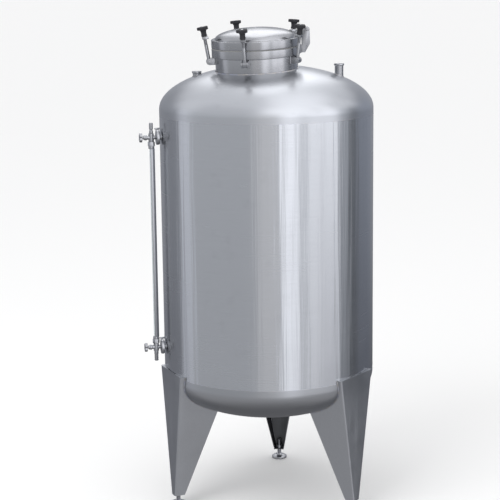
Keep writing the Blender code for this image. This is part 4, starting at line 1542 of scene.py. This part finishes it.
def low_surroundings(tree, away, height, colour):
    """Return a colour with what the steel mirrors from below laid over it."""
    ground = sizes().studio.ground
    colour = mix_colour(tree, fade(tree, height, -16.0, -34.0), colour, grey(ground, 1.04))
    deep = (ground * 0.6, ground * 0.6, ground * 0.62)
    colour = mix_colour(tree, fade(tree, height, -46.0, -75.0), colour, deep)
    under = multiplied(tree, fade(tree, away, 95.0, 125.0), fade(tree, height, -17.0, -26.0))
    return mix_colour(tree, under, colour, (0.17, 0.17, 0.18))


def studio_world():
    """Light the scene: pale to the camera and the floor, banded surroundings to the steel."""
    world = bpy.data.worlds.new("studio")
    world.use_nodes = True
    bpy.context.scene.world = world
    tree = world.node_tree
    parts = tree.nodes.new("ShaderNodeSeparateXYZ")
    tree.links.new(tree.nodes.new("ShaderNodeTexCoord").outputs["Generated"], parts.inputs[0])
    backwards = multiplied(tree, parts.outputs["Y"], -1.0)
    azimuth = math_node(tree, "DEGREES", math_node(tree, "ARCTAN2", parts.outputs["X"], backwards))
    azimuth = math_node(tree, "SUBTRACT", azimuth, sizes().studio.azimuth)
    away = math_node(tree, "ABSOLUTE", azimuth)
    height = math_node(tree, "DEGREES", math_node(tree, "ARCSINE", parts.outputs["Z"]))
    colour = level_surroundings(tree, azimuth, height)
    colour = overhead_surroundings(tree, azimuth, away, height, colour)
    colour = low_surroundings(tree, away, height, colour)
    path = tree.nodes.new("ShaderNodeLightPath")
    plain = math_node(tree, "MAXIMUM", path.outputs["Is Camera Ray"], path.outputs["Is Diffuse Ray"])
    white = (1.0, 1.0, 1.0)
    tree.links.new(mix_colour(tree, plain, colour, white), tree.nodes["Background"].inputs["Color"])


def studio_floor():
    """Lay a wide pale floor that the steel doesn't mirror."""
    shader = new_material("floor_paint")[1]
    shader.inputs["Base Color"].default_value = (*sizes().studio.floor, 1.0)
    shader.inputs["Roughness"].default_value = 0.9
    shader.inputs["Specular IOR Level"].default_value = 0.0
    bm = bmesh.new()
    reach = 200.0
    corners = [(-reach, -reach), (reach, -reach), (reach, reach), (-reach, reach)]
    bm.faces.new([bm.verts.new((x, y, 0.0)) for x, y in corners])
    mesh = finish_mesh(bm, "floor")
    mesh.materials.append(bpy.data.materials["floor_paint"])
    floor = new_object("floor", mesh)
    floor.visible_glossy = False


def studio_lamp(name, azimuth, distance, height, size, power):
    """Hang one soft square lamp that looks at the tank."""
    data = bpy.data.lights.new(name, "AREA")
    data.size = size
    data.energy = power
    lamp = new_object(name, data)
    spot = facing(azimuth) @ Vector((distance, 0.0, height))
    way = Vector((AXIS_X, 0.0, 1.2)) - spot
    lamp.matrix_world = Matrix.Translation(spot) @ way.to_track_quat("-Z", "Y").to_matrix().to_4x4()
    lamp.visible_glossy = False


def studio_camera():
    """Stand the camera where the photographer stood."""
    studio = sizes().studio
    tilt, yaw, roll = (math.radians(v) for v in (studio.tilt, studio.yaw, studio.roll))
    ahead = Vector((math.sin(yaw) * math.cos(tilt), math.cos(yaw) * math.cos(tilt), -math.sin(tilt)))
    right = Vector((math.cos(yaw), -math.sin(yaw), 0.0))
    up = right.cross(ahead)
    leaned_right = right * math.cos(roll) + up * math.sin(roll)
    leaned_up = up * math.cos(roll) - right * math.sin(roll)
    turn = Matrix((leaned_right, leaned_up, -ahead)).transposed().to_4x4()
    data = bpy.data.cameras.new("camera")
    data.sensor_width = 36.0
    data.lens = studio.lens
    data.clip_end = 500.0
    camera = new_object("camera", data)
    spot = Matrix.Translation((0.0, -studio.distance, studio.height))
    camera.matrix_world = tank_place() @ Matrix.Rotation(math.radians(studio.azimuth), 4, "Z") @ spot @ turn
    bpy.context.scene.camera = camera


class TANK_OT_studio(bpy.types.Operator):
    """Build the floor, the light and the camera"""

    bl_idname = "tank.studio"
    bl_label = "Studio"

    def execute(self, context):
        studio_camera()
        studio_world()
        studio_floor()
        studio_lamp("key_lamp", azimuth=-35.0, distance=5.0, height=5.5, size=4.0, power=160.0)
        context.scene.view_settings.view_transform = "Standard"
        context.scene.view_settings.look = "None"
        return {"FINISHED"}


class TankSettings(bpy.types.PropertyGroup):
    """Everything that a user may change."""

    body: PointerProperty(name="Body", description="Shell and legs", type=TankSizes)
    manway: PointerProperty(name="Manway", description="Manway and lid", type=ManwaySizes)
    gauge: PointerProperty(name="Gauge", description="Level gauge", type=GaugeSizes)
    colours: PointerProperty(name="Colours", description="Base colours", type=TankColours)
    studio: PointerProperty(name="Studio", description="Camera and light", type=StudioSettings)


PIECES = (
    TANK_OT_studio,
    TANK_OT_shell,
    TANK_OT_dome,
    TANK_OT_legs,
    TANK_OT_feet,
    TANK_OT_manway,
    TANK_OT_lid,
    TANK_OT_bolts,
    TANK_OT_knobs,
    TANK_OT_gauge,
    TANK_OT_nozzles,
)


class TANK_PT_panel(bpy.types.Panel):
    """List the pieces of the tank"""

    bl_idname = "TANK_PT_panel"
    bl_label = "Beverage tank"
    bl_space_type = "VIEW_3D"
    bl_region_type = "UI"
    bl_category = "Tank"

    def draw(self, context):
        settings = context.scene.tank
        for group in (settings.body, settings.manway, settings.gauge, settings.colours, settings.studio):
            box = self.layout.box()
            for key in group.__annotations__:
                box.prop(group, key)
        for piece in PIECES:
            self.layout.operator(piece.bl_idname)


GROUPS = (TankSizes, ManwaySizes, GaugeSizes, TankColours, StudioSettings, TankSettings)
CLASSES = (*GROUPS, *PIECES, TANK_PT_panel)


def register():
    """Register the classes and the scene's settings."""
    for cls in CLASSES:
        bpy.utils.register_class(cls)
    bpy.types.Scene.tank = PointerProperty(type=TankSettings)


def unregister():
    """Take the settings and the classes out again."""
    del bpy.types.Scene.tank
    for cls in reversed(CLASSES):
        bpy.utils.unregister_class(cls)


def main():
    """Build the whole tank in its studio."""
    register()
    make_materials()
    for piece in PIECES:
        group, action = piece.bl_idname.split(".")
        getattr(getattr(bpy.ops, group), action)()


if __name__ == "__main__":
    main()
